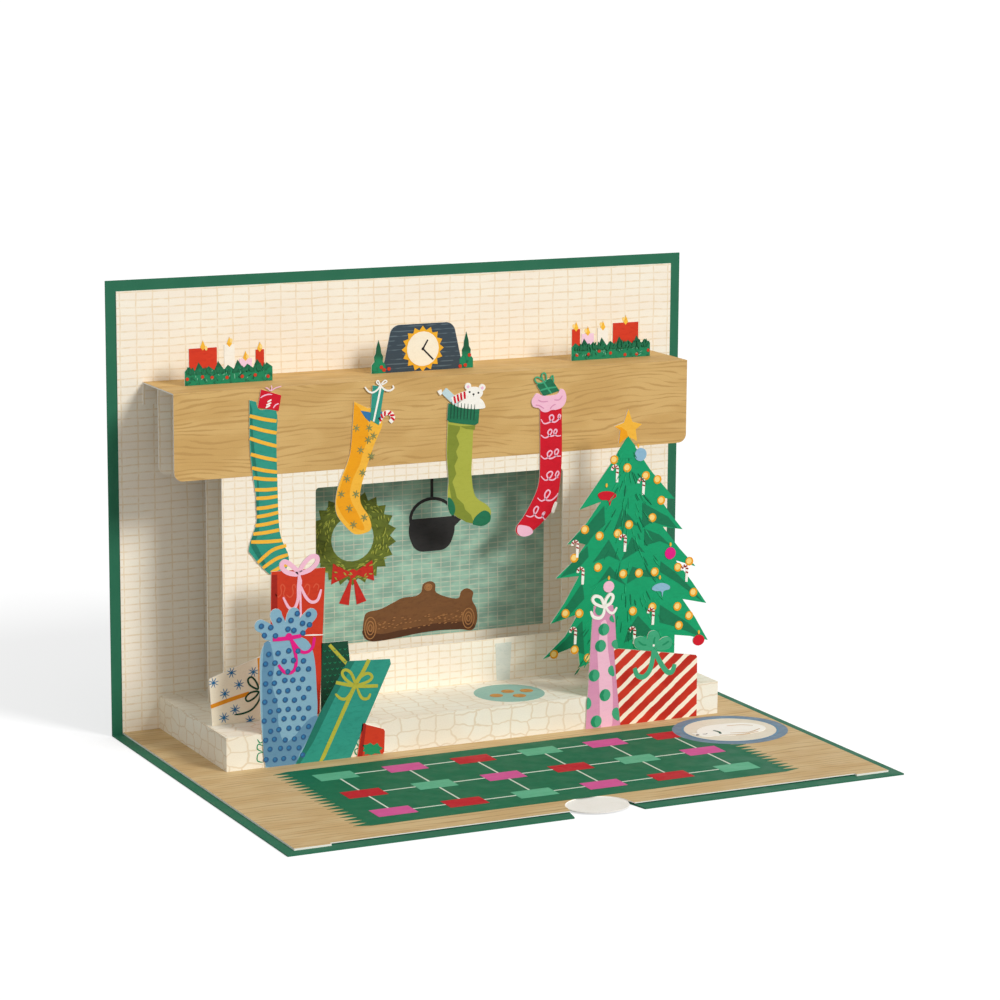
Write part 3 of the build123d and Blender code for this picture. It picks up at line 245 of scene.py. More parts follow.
ruled_net.links.new(calc(ruled_net, "MULTIPLY", net, pressed), leave["Lines"])

# %% [markdown]
# The mantel and the floor are drawn as planks: long brown pencil lines that wave, break off and close round knots.
# A wave texture gives lines of one strength. Here the place is bent by a slow noise and then folded at the pitch, and
# a second noise says how hard the pencil is pressed.

# %% Drawn wood grain
drawn_grain, entry, leave = new_group(
    "drawn_grain", {"Along": 0.0, "Across": 0.0, "Pitch": 1.4, "Wave": 3.0}, ["Grain", "Tone"]
)
long_place = flat_place(drawn_grain, entry["Along"], entry["Across"], 0.022, 0.07)
wave = calc(drawn_grain, "SUBTRACT", cloud(drawn_grain, long_place, 1.0, 2.0), 0.5)
bent = calc(drawn_grain, "MULTIPLY_ADD", wave, entry["Wave"], entry["Across"])
tremble = cloud(drawn_grain, flat_place(drawn_grain, entry["Along"], entry["Across"], 0.35, 0.8), 1.0, 2.0)
bent = calc(drawn_grain, "MULTIPLY_ADD", tremble, 0.45, bent)
gap = calc(drawn_grain, "PINGPONG", bent, calc(drawn_grain, "MULTIPLY", entry["Pitch"], 0.5))
press = cloud(drawn_grain, flat_place(drawn_grain, entry["Along"], entry["Across"], 0.06, 0.55), 1.0, 1.0)
half_line = ramp(drawn_grain, press, 0.4, 0.66, 0.02, 0.3)
line = ramp(drawn_grain, calc(drawn_grain, "SUBTRACT", half_line, gap), -0.1, 0.12)
drawn_grain.links.new(line, leave["Grain"])
drawn_grain.links.new(cloud(drawn_grain, long_place, 2.3, 2.0), leave["Tone"])

# %% [markdown]
# The hearth is drawn as rough stone blocks of unequal size. A brick texture would make them all alike, but cells
# round scattered points give such blocks, and the distance to a cell's edge gives the joint.

# %% Rough stone blocks
stone_joints, entry, leave = new_group(
    "stone_joints", {"Across": 0.0, "Up": 0.0, "Width": 5.6, "Height": 3.9}, ["Joints"]
)
place = flat_place(stone_joints, entry["Across"], entry["Up"])
bend = box_of(stone_joints, "TexNoise", {"Vector": place, "Scale": 0.35, "Detail": 1.0}).outputs["Color"]
bend = box_of(stone_joints, "SeparateColor", {0: bend}).outputs
across = calc(stone_joints, "ADD", entry["Across"], calc(stone_joints, "MULTIPLY", bend[0], 1.6))
up = calc(stone_joints, "ADD", entry["Up"], calc(stone_joints, "MULTIPLY", bend[1], 1.6))
cells = box_of(
    stone_joints,
    "CombineXYZ",
    {0: calc(stone_joints, "DIVIDE", across, entry["Width"]), 1: calc(stone_joints, "DIVIDE", up, entry["Height"])},
).outputs[0]
edge = box_of(
    stone_joints,
    "TexVoronoi",
    {"Vector": cells, "Scale": 1.0, "Randomness": 0.45},
    voronoi_dimensions="2D",
    feature="DISTANCE_TO_EDGE",
).outputs["Distance"]
stone_joints.links.new(ramp(stone_joints, edge, 0.015, 0.075, 1.0, 0.0), leave["Joints"])

# %% [markdown]
# The painted things are laid in with a dry brush: the ink is never quite even, and darker strokes show. Scanned
# strokes would need a picture, so a noise that is stretched one way stands for the bristles.

# %% Brush marks
brush_marks, entry, leave = new_group(
    "brush_marks", {"Across": 0.0, "Up": 0.0, "Length": 0.25, "Width": 0.9}, ["Marks", "Wash"]
)
place = box_of(
    brush_marks,
    "CombineXYZ",
    {
        0: calc(brush_marks, "MULTIPLY", entry["Across"], entry["Length"]),
        1: calc(brush_marks, "MULTIPLY", entry["Up"], entry["Width"]),
    },
).outputs[0]
brush_marks.links.new(ramp(brush_marks, cloud(brush_marks, place, 1.0, 3.0), 0.5, 0.66), leave["Marks"])
brush_marks.links.new(cloud(brush_marks, place, 0.3, 2.0), leave["Wash"])
print("groups:", [group.name for group in bpy.data.node_groups])

# %% [markdown]
# Every sheet ends in the same way: ink where it is printed, bare white card on the cut edges and at the back,
# the tooth of the card under both, and a low, broken shine. Only the drawing differs from sheet to sheet.

# %% One finish for all sheets
PRINTED_FRONT = ("Front",)
PRINTED_OUTSIDE = ("Front", "Level", "Side")
PRINTED_ALL = ()
PAPER_GLOSS = 0.25
TOOTH_STRENGTH = 0.12
TOOTH_DEPTH = 0.00004


def paper_finish(name, draw, printed=PRINTED_ALL):
    """A material whose drawing is what draw(tree, place) gives, on the faces that look the printed ways."""
    material = bpy.data.materials.new(name)
    material.use_nodes = True
    tree = material.node_tree
    shader = tree.nodes["Principled BSDF"]
    place = use_group(tree, sheet_place)
    colour = draw(tree, place)
    if printed:
        mask = place[printed[0]]
        for way in printed[1:]:
            mask = calc(tree, "MAXIMUM", mask, place[way])
        colour = mixed(tree, mask, PAPER_WHITE, colour)
    tooth = use_group(tree, card_tooth, {"Across": place["Across"], "Up": place["Up"]})
    tone = box_of(tree, "CombineColor", {0: tooth["Tone"], 1: tooth["Tone"], 2: tooth["Tone"]}).outputs[0]
    tree.links.new(mixed(tree, 1.0, colour, tone, "MULTIPLY"), shader.inputs["Base Color"])
    tree.links.new(tooth["Shine"], shader.inputs["Roughness"])
    shader.inputs["Specular IOR Level"].default_value = PAPER_GLOSS
    relief = box_of(tree, "Bump", {"Strength": TOOTH_STRENGTH, "Distance": TOOTH_DEPTH, "Height": tooth["Height"]})
    tree.links.new(relief.outputs[0], shader.inputs["Normal"])
    return material


def washed(base, dark, amount=0.5, length=0.55, width=1.3):
    """A drawing of one brushed ink: the base, with darker marks of that strength."""

    def draw(tree, place):
        ways = {"Across": place["Across"], "Up": place["Up"], "Length": length, "Width": width}
        brush = use_group(tree, brush_marks, ways)
        wash = ramp(tree, brush["Wash"], 0.35, 0.65, 0.0, 0.35 * amount)
        laid = mixed(tree, wash, base, dark)
        return mixed(tree, calc(tree, "MULTIPLY", brush["Marks"], 0.6 * amount), laid, dark)

    return draw


def give(material, *names):
    """Puts a material on those nodes of the frame."""
    for name in names:
        nodes[name].data.materials.clear()
        nodes[name].data.materials.append(material)
    print(material.name, "on", ", ".join(names))

# %% [markdown]
# The cover is dark green card. It shows as a narrow border round both pages, and as the whole of the outside. It
# could be one flat colour, but a printed green is never quite even, so a very broad wash lies over it.

# %% The cover and the bare card
give(paper_finish("cover_green", washed(ink(34, 104, 76), ink(26, 90, 64), 0.3, 0.05, 0.05)), "cover")
give(paper_finish("bare_card", washed(PAPER_WHITE, ink(232, 226, 214), 0.4, 0.2, 0.2)), "note_card")

# %% [markdown]
# The wall and the chimney are one wallpaper of cream bricks: long low bricks, ruled in tan, with a faint blush.
# The same group rules both. The chimney's bricks are a little smaller, so each material sets its own values.

# %% The brick paper
CREAM = ink(248, 240, 222)
CREAM_BLUSH = ink(246, 235, 217)
BRICK_LINE = ink(234, 214, 180)


def bricks(column, course, line=0.36, stray=0.9):
    """A drawing of ruled brickwork with those columns and courses, in millimetres."""

    def draw(tree, place):
        ways = {"Across": place["Across"], "Up": place["Up"]}
        net = use_group(tree, ruled_net, {**ways, "Column": column, "Course": course, "Line": line, "Stray": stray})
        brush = use_group(tree, brush_marks, {**ways, "Length": 0.12, "Width": 0.3})
        plain = mixed(tree, ramp(tree, brush["Wash"], 0.35, 0.65), CREAM, CREAM_BLUSH)
        return mixed(tree, net["Lines"], plain, BRICK_LINE)

    return draw


WALL_BRICK = (4.72, 2.17)
CHIMNEY_BRICK = (3.4, 2.05)
give(paper_finish("brick_wall", bricks(*WALL_BRICK), PRINTED_FRONT), "wall_page")
give(paper_finish("brick_chimney", bricks(*CHIMNEY_BRICK), PRINTED_FRONT), "mantel_front", "mid_panel")

# %% [markdown]
# The mantel is honey-coloured wood and the floor paler boards, both with their grain in pencil. One function makes
# both, with their own colours and pitch. Only the floor page's upper side is printed, so its edges stay white.

# %% The drawn wood
HONEY = ink(212, 174, 110)
HONEY_DARK = ink(202, 162, 98)
HONEY_LINE = ink(184, 144, 84)


def planks(base, dark, line, pitch, wave):
    """A drawing of wood whose grain runs across the card."""

    def draw(tree, place):
        ways = {"Along": place["Across"], "Across": place["Up"], "Pitch": pitch, "Wave": wave}
        grain = use_group(tree, drawn_grain, ways)
        tone = mixed(tree, ramp(tree, grain["Tone"], 0.38, 0.62), base, dark)
        return mixed(tree, calc(tree, "MULTIPLY", grain["Grain"], 0.75), tone, line)

    return draw


MANTEL_PITCH, MANTEL_WAVE = 1.4, 12.0
mantel_grain = planks(HONEY, HONEY_DARK, HONEY_LINE, MANTEL_PITCH, MANTEL_WAVE)
give(paper_finish("mantel_grain", mantel_grain), "mantel_wood")
FLOOR_WOOD = ink(208, 180, 132)
FLOOR_WOOD_DARK = ink(200, 168, 118)
FLOOR_WOOD_LINE = ink(170, 136, 88)
FLOOR_PITCH, FLOOR_WAVE = 1.9, 8.0
floor_grain = planks(FLOOR_WOOD, FLOOR_WOOD_DARK, FLOOR_WOOD_LINE, FLOOR_PITCH, FLOOR_WAVE)
give(paper_finish("floor_boards", floor_grain, ("Level",)), "floor_page")

# %% [markdown]
# The hearth is a folded box of pale stone. It is printed all round, so the blocks turn its corners.

# %% The stone paper
STONE = ink(242, 238, 222)
STONE_SHADE = ink(240, 231, 211)
STONE_LINE = ink(228, 214, 188)


def stones(tree, place):
    """A drawing of rough blocks with tan joints."""
    ways = {"Across": place["Across"], "Up": place["Up"]}
    joints = use_group(tree, stone_joints, ways)["Joints"]
    brush = use_group(tree, brush_marks, {**ways, "Length": 0.2, "Width": 0.2})
    return mixed(tree, joints, mixed(tree, ramp(tree, brush["Wash"], 0.35, 0.65), STONE, STONE_SHADE), STONE_LINE)


give(paper_finish("hearth_stone", stones, PRINTED_OUTSIDE), "hearth")

# %% [markdown]
# The back of the firebox is laid with small glazed tiles, teal green, with pale joints. They are printed on the
# middle panel, so they are a net like the brick's, with a tone that changes from place to place.

# %% The tiles
TILE = ink(156, 194, 172)
TILE_DARK = ink(134, 168, 150)
TILE_LINE = ink(226, 212, 190)


def tiles(tree, place):
    """A drawing of small tiles: the tone changes from tile to tile."""
    ways = {"Across": place["Across"], "Up": place["Up"]}
    net = use_group(tree, ruled_net, {**ways, "Column": 3.0, "Course": 1.45, "Line": 0.24, "Stray": 0.35})
    brush = use_group(tree, brush_marks, {**ways, "Length": 0.5, "Width": 0.9})
    glazed = mixed(tree, ramp(tree, brush["Wash"], 0.35, 0.65), TILE, TILE_DARK)
    return mixed(tree, calc(tree, "MULTIPLY", net["Lines"], 0.6), glazed, TILE_LINE)


give(paper_finish("glazed_tiles", tiles), "firebox_tiles")

# %% [markdown]
# The smaller prints are brushed inks. Each gets its own pair of colours, one laid over the other. Their shapes are
# nodes of the frame already, so a table of finishes is enough, and a loop hands them out.

# %% The brushed inks
INKS = {
    "candle_red": (ink(214, 56, 26), ink(188, 36, 16), 0.6, ("candles_red",)),
    "candle_white": (ink(250, 244, 230), ink(238, 228, 210), 0.5, ("candles_white",)),
    "candle_pink": (ink(246, 208, 226), ink(232, 178, 206), 0.5, ("candles_pink",)),
    "flame_gold": (ink(250, 196, 60), ink(232, 140, 18), 0.7, ("candle_flames",)),
    "clock_gold": (ink(240, 178, 40), ink(220, 150, 24), 0.5, ("clock_rim",)),
    "clock_cream": (ink(250, 240, 216), ink(240, 226, 196), 0.4, ("clock_dial",)),
    "hand_black": (ink(30, 28, 30), ink(52, 48, 50), 0.4, ("clock_hands",)),
    "wreath_olive": (ink(104, 116, 38), ink(62, 72, 18), 0.9, ("wreath",)),
    "wreath_red": (ink(200, 40, 28), ink(160, 24, 18), 0.6, ("wreath_bow",)),
    "kettle_black": (ink(44, 42, 42), ink(24, 22, 22), 0.5, ("kettle",)),
    "milk": (ink(226, 228, 216), ink(198, 208, 198), 0.5, ("milk_glass",)),
    "rug_green": (ink(12, 102, 68), ink(6, 82, 54), 0.5, ("rug",)),
    "block_pink": (ink(212, 86, 150), ink(190, 62, 126), 0.5, ("rug_blocks_pink",)),
    "block_red": (ink(190, 20, 36), ink(160, 8, 26), 0.5, ("rug_blocks_red",)),
    "block_green": (ink(96, 176, 138), ink(72, 150, 112), 0.5, ("rug_blocks_green",)),
    "rug_thread": (ink(220, 226, 210), ink(196, 206, 190), 0.4, ("rug_lines",)),
    "bed_blue": (ink(118, 140, 158), ink(84, 108, 130), 0.8, ("pet_bed",)),
    "plate_teal": (ink(150, 190, 176), ink(128, 168, 156), 0.5, ("plate",)),
    "biscuit": (ink(206, 148, 74), ink(150, 92, 40), 0.9, ("cookies",)),
}
for name, (base, dark, amount, printed_nodes) in INKS.items():
    give(paper_finish(name, washed(base, dark, amount)), *printed_nodes)

# %% [markdown]
# The clock's case is painted slate, with dry strokes from side to side. The evergreen is darkest at its tips. An
# even wash would lose both, so each has a drawing of its own.

# %% The clock's case and the leaves
CASE = ink(54, 68, 78)
CASE_STROKE = ink(104, 122, 130)
STROKE_PITCH = 1.3
LEAVES_LOW, LEAVES_HIGH = 3.4, 5.4
SHELF_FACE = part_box("mantel_wood")[1].z / MM


def strokes_across(tree, place):
    """A dark ground with thin strokes that run across at even heights and break off."""
    broken = cloud(tree, flat_place(tree, place["Across"], place["Up"], 0.25, 1.2), 1.0, 1.0)
    gap = calc(
        tree, "PINGPONG", calc(tree, "ADD", place["Up"], calc(tree, "MULTIPLY", broken, 0.3)), STROKE_PITCH / 2,
    )
    line = calc(tree, "MULTIPLY", ramp(tree, gap, 0.05, 0.2, 1.0, 0.0), ramp(tree, broken, 0.42, 0.56))
    return mixed(tree, calc(tree, "MULTIPLY", line, 0.7), CASE, CASE_STROKE)


def evergreen(tree, place):
    """Green that turns nearly black above the front leaves."""
    height = ramp(tree, place["Up"], SHELF_FACE + LEAVES_LOW, SHELF_FACE + LEAVES_HIGH)
    brush = use_group(tree, brush_marks, {"Across": place["Across"], "Up": place["Up"], "Length": 0.7, "Width": 0.7})
    leaf = mixed(tree, calc(tree, "MULTIPLY", brush["Marks"], 0.7), ink(24, 132, 90), ink(12, 84, 56))
    return mixed(tree, calc(tree, "MULTIPLY", height, 0.85), leaf, ink(16, 78, 52))


give(paper_finish("clock_slate", strokes_across), "clock_case")
give(paper_finish("evergreen", evergreen), "garland_leaves")

# %% [markdown]
# A die cuts the real sheets along lines that a designer drew by hand, and the ink has brushed edges of its own. The
# solids give each cut only roughly. One could trace whole curves, but a hand sets a few points and lets the line
# run through them, so that is done here too: points first, then a smooth line, then the width of the brush.

# %% Smooth lines and strokes


def smooth(points, closed=False, steps=5):
    """A curve through the points. Between two of them it is a cubic, and its slope at each of the two is half the
    way from the point before to the point after, so the pieces join without a corner."""
    here = np.asarray(points, float)
    ends = (here[-1:], here[:2]) if closed else (here[:1], here[-1:])
    ring = np.concatenate([ends[0], here, ends[1]])
    before, start, end, after = (part[:, None, :] for part in (ring[:-3], ring[1:-2], ring[2:-1], ring[3:]))
    t = (np.arange(steps) / steps)[None, :, None]
    cubic = 2 * before - 5 * start + 4 * end - after + t * (3 * (start - end) + after - before)
    curve = (start + 0.5 * t * (end - before + t * cubic)).reshape(-1, 2)
    return curve if closed else np.concatenate([curve, here[-1:]])


def stroke(points, width, closed=False, taper=0.55, steps=5):
    """A brush stroke along a smooth line. Each edge is the line moved sideways by half the width, times
    1 - (1 - taper) t^4, where t runs from -1 to 1 along the line, so that the ends are thinner."""
    line = smooth(points, closed, steps)
    run = np.roll(line, -1, 0) - np.roll(line, 1, 0) if closed else np.gradient(line, axis=0)
    run /= np.maximum(np.linalg.norm(run, axis=1, keepdims=True), 1e-9)
    side = np.stack([-run[:, 1], run[:, 0]], axis=1)
    t = np.linspace(-1, 1, len(line))[:, None]
    half = np.full_like(t, width / 2) if closed else width / 2 * (1 - (1 - taper) * t**4)
    return {"left": line + side * half, "right": line - side * half, "closed": closed}


def strokes(lines, width, **ways):
    """One stroke along each line, all of one width."""
    return [stroke(line, width, **ways) for line in lines]


def loop(points, width):
    """A closed loop of ribbon through the points."""
    return stroke(points, width, closed=True)


print("a stroke has", len(stroke([(0, 0), (1, 1), (2, 0)], 0.4)["left"]), "stations")

# %% [markdown]
# The other shape is a patch: a flat piece inside its edge. A face must know its front from its back, and the sign of
# the area inside the edge tells which way round it was drawn, so each edge is turned to run the same way. A dot is a
# patch with a round edge. Stars and snow crystals are strokes that cross in one point.

# %% Patches, dots and stars


def patch(points, soft=False, depth=None):
    """A flat piece inside its edge, which goes straight or softly from point to point."""
    edge = smooth(points, True) if soft else np.asarray(points, float)
    after = np.roll(edge, -1, 0)
    twice_area = np.sum(edge[:, 0] * after[:, 1] - after[:, 0] * edge[:, 1])
    return {"edge": edge if twice_area > 0 else edge[::-1], "depth": depth}


def leg(points):
    """A flat piece whose edge runs softly through the points and is closed by a straight cut."""
    return patch(smooth(points))


def dot(across, up, radius, tall=1.0, sides=12):
    """A round spot: its edge is (across + r cos a, up + tall r sin a) for evenly spaced turns a."""
    turn = np.linspace(0, 2 * np.pi, sides, endpoint=False)
    return patch(np.stack([across + radius * np.cos(turn), up + tall * radius * np.sin(turn)], axis=1))


def patches(edges, soft=False):
    """One patch inside each edge."""
    return [patch(edge, soft) for edge in edges]


def dots(spots, radius, tall=1.0, sides=12):
    """A round spot of one size at each place."""
    return [dot(across, up, radius, tall, sides) for across, up in spots]


def asterisks(spots, radius, width, arms=3, turn=0.3):
    """At each place, strokes that cross in one point, at even turns."""
    turns = turn + np.arange(arms) * np.pi / arms
    arm = radius * np.stack([np.cos(turns), np.sin(turns)], axis=1)
    crossed = [[middle - way, middle, middle + way] for middle in np.asarray(spots, float) for way in arm]
    return strokes(crossed, width, taper=0.3, steps=2)


print("a dot has", len(dot(0, 0, 1)["edge"]), "corners")

# %% [markdown]
# A printer mixes a few inks and uses each in many places. The table gives every ink its base, the darker tone of
# its brush marks, how strong they are, and the slot it belongs to, so that a user can change one ink everywhere.

# %% Paints
PAINTS = {
    "white": (ink(250, 246, 236), ink(234, 224, 208), 0.3, "white_print"),
    "cushion": (ink(232, 222, 202), ink(214, 200, 176), 0.5, "white_print"),
    "cream": (ink(248, 238, 214), ink(238, 224, 196), 0.3, "white_print"),
    "gold": (ink(246, 186, 60), ink(230, 156, 34), 0.4, "gold_print"),
    "gold_deep": (ink(240, 162, 14), ink(224, 140, 10), 0.4, "gold_print"),
    "gold_pale": (ink(252, 216, 130), ink(248, 204, 110), 0.3, "gold_print"),
    "orange": (ink(232, 150, 30), ink(214, 126, 18), 0.4, "gold_print"),
    "red": (ink(206, 56, 26), ink(184, 38, 16), 0.4, "red_print"),
    "red_light": (ink(216, 84, 54), ink(206, 70, 42), 0.3, "red_print"),
    "red_deep": (ink(160, 30, 16), ink(136, 22, 12), 0.4, "red_print"),
    "crimson": (ink(208, 8, 36), ink(178, 0, 26), 0.4, "crimson_print"),
    "pink": (ink(246, 192, 212), ink(234, 168, 194), 0.3, "pink_print"),
    "pink_deep": (ink(220, 150, 182), ink(206, 130, 166), 0.4, "pink_print"),
    "magenta": (ink(228, 20, 132), ink(200, 8, 112), 0.3, "magenta_print"),
    "teal": (ink(44, 150, 130), ink(26, 120, 104), 0.5, "teal_print"),
    "teal_deep": (ink(26, 116, 98), ink(16, 94, 78), 0.5, "teal_print"),
    "green": (ink(26, 112, 76), ink(12, 84, 54), 0.5, "leaf_print"),
    "green_black": (ink(12, 70, 48), ink(8, 52, 36), 0.4, "leaf_print"),
    "leaf": (ink(24, 142, 96), ink(14, 112, 72), 0.4, "leaf_print"),
    "mint": (ink(118, 190, 158), ink(92, 166, 132), 0.3, "light_green_print"),
    "jade": (ink(62, 168, 122), ink(42, 140, 98), 0.4, "light_green_print"),
    "tree": (ink(2, 158, 104), ink(2, 134, 86), 0.4, "tree_print"),
    "tree_dark": (ink(6, 118, 78), ink(6, 100, 66), 0.5, "tree_print"),
    "tree_light": (ink(28, 168, 112), ink(16, 152, 100), 0.3, "tree_print"),
    "lime": (ink(172, 176, 68), ink(156, 160, 56), 0.4, "lime_print"),
    "olive": (ink(128, 140, 46), ink(108, 120, 36), 0.4, "olive_print"),
    "olive_light": (ink(160, 166, 66), ink(142, 148, 50), 0.4, "olive_print"),
    "ribbon_olive": (ink(182, 180, 60), ink(158, 156, 44), 0.4, "lime_print"),
    "grey_green": (ink(132, 136, 84), ink(110, 116, 70), 0.3, "olive_print"),
    "blue": (ink(46, 118, 168), ink(34, 96, 142), 0.4, "blue_print"),
    "blue_deep": (ink(46, 92, 136), ink(34, 74, 114), 0.3, "blue_print"),
    "blue_pale": (ink(142, 184, 208), ink(118, 162, 190), 0.4, "blue_print"),
    "blue_ice": (ink(196, 218, 220), ink(176, 202, 206), 0.3, "blue_print"),
    "bag": (ink(134, 176, 196), ink(112, 156, 180), 0.4, "slate_blue_print"),
    "bag_dark": (ink(98, 142, 170), ink(84, 128, 156), 0.4, "slate_blue_print"),
    "black": (ink(30, 26, 26), ink(46, 40, 38), 0.3, "black_print"),
    "bark": (ink(122, 80, 44), ink(92, 58, 30), 0.6, "bark_print"),
    "bark_pale": (ink(172, 120, 70), ink(150, 100, 56), 0.4, "bark_print"),
    "bark_dark": (ink(84, 50, 26), ink(66, 38, 18), 0.4, "bark_print"),
    "tan": (ink(206, 176, 140), ink(190, 160, 124), 0.3, "brick_paper"),
}
SHELF_UP = (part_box("mantel_wood")[1].z - FLOOR_FACE) / MM
HEARTH_UP = (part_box("hearth")[1].z - FLOOR_FACE) / MM
FRONTS = {
    "shelf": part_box("clock_case")[1].y,
    "stockings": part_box("stocking_stripes")[1].y,
    "tree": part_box("tree_gold")[1].y,
    "back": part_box("gift_tall")[1].y,
    "left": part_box("gift_leaning")[1].y,
    "right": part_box("gift_bottle")[1].y,
    "log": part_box("log")[0].y,
    "wreath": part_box("wreath")[0].y,
    "hearth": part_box("hearth")[0].y,
}
finishes = {}
print("shelf", round(SHELF_UP, 2), "mm up, hearth", round(HEARTH_UP, 2), "mm up")

# %% [markdown]
# Real ink has no thickness to measure. It could be a mask in the sheet's material, but a mask needs a picture or a
# long formula for each shape. So each ink on each sheet is one thin closed body: its shapes are swept from the film's
# front to just under the sheet's face. Each shape lies a little before the last, so no two fronts share a plane.

# %% Films and sheets
SHEET = 0.3
LAYER = 0.03
ROOT_DEPTH = 0.01
SHAPE_STEP = 0.002


def bodies(shapes, front, back):
    """All shapes as one set of points (across, depth, up) and faces, closed and facing out. Each corner of an edge,
    or of a stroke's two sides, is set once at the front and once at the back, and neighbours are joined by faces."""
    points, faces, start = [], [], 0
    for count, shape in enumerate(shapes):
        near = front - count * SHAPE_STEP * MM
        far = back if shape.get("depth") is None else front + shape["depth"] * MM
        if "edge" in shape:
            edge = shape["edge"]
            total = len(edge)
            this = np.arange(total)
            after = (this + 1) % total
            stations = np.concatenate([edge, edge])
            depths = np.repeat([near, far], total)
            sides = np.stack([this, this + total, after + total, after], axis=1)
            faces += [(this + start).tolist(), (this[::-1] + total + start).tolist(), *(sides + start).tolist()]
        else:
            left, right = shape["left"], shape["right"]
            total = len(left)
            stations = np.stack([left, right, right, left], axis=1).reshape(-1, 2)
            depths = np.tile([near, near, far, far], total)
            this = np.arange(total if shape["closed"] else total - 1) * 4
            after = (this + 4) % (4 * total)
            corner = np.arange(4)
            turn = (corner + 1) % 4
            here, ahead = this[:, None], after[:, None]
            sides = np.stack([here + corner, here + turn, ahead + turn, ahead + corner], axis=2)
            faces += (sides.reshape(-1, 4) + start).tolist()
            if not shape["closed"]:
                last = 4 * (total - 1) + start
                faces += [(start, start + 3, start + 2, start + 1), (last, last + 1, last + 2, last + 3)]
        points.append(np.column_stack([stations[:, 0], depths, stations[:, 1]]))
        start += len(stations)
    return np.concatenate(points), faces


def film(sheet, at, name, paint, shapes, layer=1, replaced=(), finish=None, level=None):
    """Shapes of one ink on one sheet, drawn from the place where its drawing starts. Layer 0 is the sheet itself,
    with its white cut edge. With a level given, the film lies flat on that height and runs back instead of up."""
    base, dark, amount, slot = PAINTS[paint]
    key = (paint, layer == 0)
    if finish is None and key not in finishes:
        title = paint + ("_sheet" if layer == 0 else "_ink")
        printed = PRINTED_FRONT if layer == 0 else PRINTED_ALL
        finishes[key] = paper_finish(title, washed(base, dark, amount), printed)
    face = FRONTS[sheet] if level is None else -level
    front = face - layer * LAYER * MM
    back = face + (SHEET if layer == 0 else ROOT_DEPTH) * MM
    points, faces = bodies(shapes, front, back)
    points[:, 0] = (points[:, 0] + at[0]) * MM
    points[:, 2] = (points[:, 2] + at[1]) * MM
    if level is None:
        points[:, 2] = np.maximum(points[:, 2], 0) + FLOOR_FACE
    else:
        points = np.stack([points[:, 0], points[:, 2], -points[:, 1]], axis=1)
    mesh = bpy.data.meshes.new(name)
    mesh.from_pydata(points.tolist(), [], faces)
    mesh.materials.append(finish or finishes[key])
    piece = bpy.data.objects.new(name, mesh)
    bpy.context.scene.collection.objects.link(piece)
    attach(piece, "root")
    if replaced:
        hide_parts(*replaced)
    print(name, "has", len(shapes), "shapes")

# %% [markdown]
# The first stocking is knitted in teal with gold stripes. On the real card they are painted by hand, so they turn
# with the leg and bend over the foot. A stripe of the leg is a stroke whose ends are looked up on the leg's edges,
# which keeps it on the stocking, and the foot's three are drawn point by point. The stocking's own sheet, with the
# gift that looks out, stands where the solid's sheet stands.

# %% The striped stocking
striped = partial(film, "stockings", (-53.0, SHELF_UP))
STRIPE = 1.0
STRIPED_LEG = (
    (-3.9, -3.0), (-3.9, -15), (-3.3, -22), (-2.1, -30.5), (-2.1, -36.5), (-4.4, -43.6), (-3.4, -46), (0.8, -50.8),
    (2.6, -51.6), (6.0, -51.0), (7.3, -47), (4.7, -40), (4.1, -26.1), (3.9, -15), (3.9, -6.6), (-1, -5.8),
    (-1.9, -3.6),
)
STRIPED_LEFT = ((-47, -2.6), (-43.6, -4.2), (-36.5, -2.1), (-30.5, -2.1), (-22, -3.3), (-15, -3.9), (0, -3.9))
STRIPED_RIGHT = ((-47, 7.0), (-40, 4.5), (-26, 4.0), (0, 3.9))
LEG_STRIPES = (
    (-8.3, -14), (-11.4, -16), (-14.8, -19), (-18.9, -16), (-22.4, -13), (-24.8, -8), (-27.8, -2),
    (-30.1, 1), (-32.8, 4), (-35, 7), (-37.4, 6), (-39.7, 4), (-42.2, -2),
)
FOOT_STRIPES = (
    ((-1.9, -48), (2.4, -44.9), (6.6, -43.9)),
    ((-0.4, -49.6), (3.5, -47.4), (7.1, -46.5)),
    ((2, -51.1), (4.6, -49.9), (6.8, -49.3)),
)


def across_leg(up, turn, lefts, rights):
    """A stripe from edge to edge of a leg: the edges' places are looked up at the heights where it meets them."""
    slope = np.tan(np.radians(turn))
    left = np.interp(up, *np.transpose(lefts))
    right = np.interp(up, *np.transpose(rights))
    left = np.interp(up + slope * left, *np.transpose(lefts))
    right = np.interp(up + slope * right, *np.transpose(rights))
    middle = (left + right) / 2
    return (left, up + slope * left), (middle, up + slope * middle - 0.15), (right, up + slope * right)


stripes = [stroke(across_leg(up, turn, STRIPED_LEFT, STRIPED_RIGHT), STRIPE, taper=0.9) for up, turn in LEG_STRIPES]
stripes += strokes(FOOT_STRIPES, STRIPE, taper=0.8)
striped_gift = patch(((-0.5, -0.3), (5.4, -2.3), (4.6, -6.5), (-1.5, -5.2)))
striped("striped_stocking", "teal", [leg(STRIPED_LEG), striped_gift], 0, ("stocking_striped",))
striped("gold_stripes", "gold", stripes, 2, ("stocking_stripes",))

# %% [markdown]
# The leg is darker along its left edge, as if it bent away from the light, and a crimson gift with a pink bow looks
# out of the top. The gift's outline is already part of the sheet above, so here it only gets its ink and its bow.

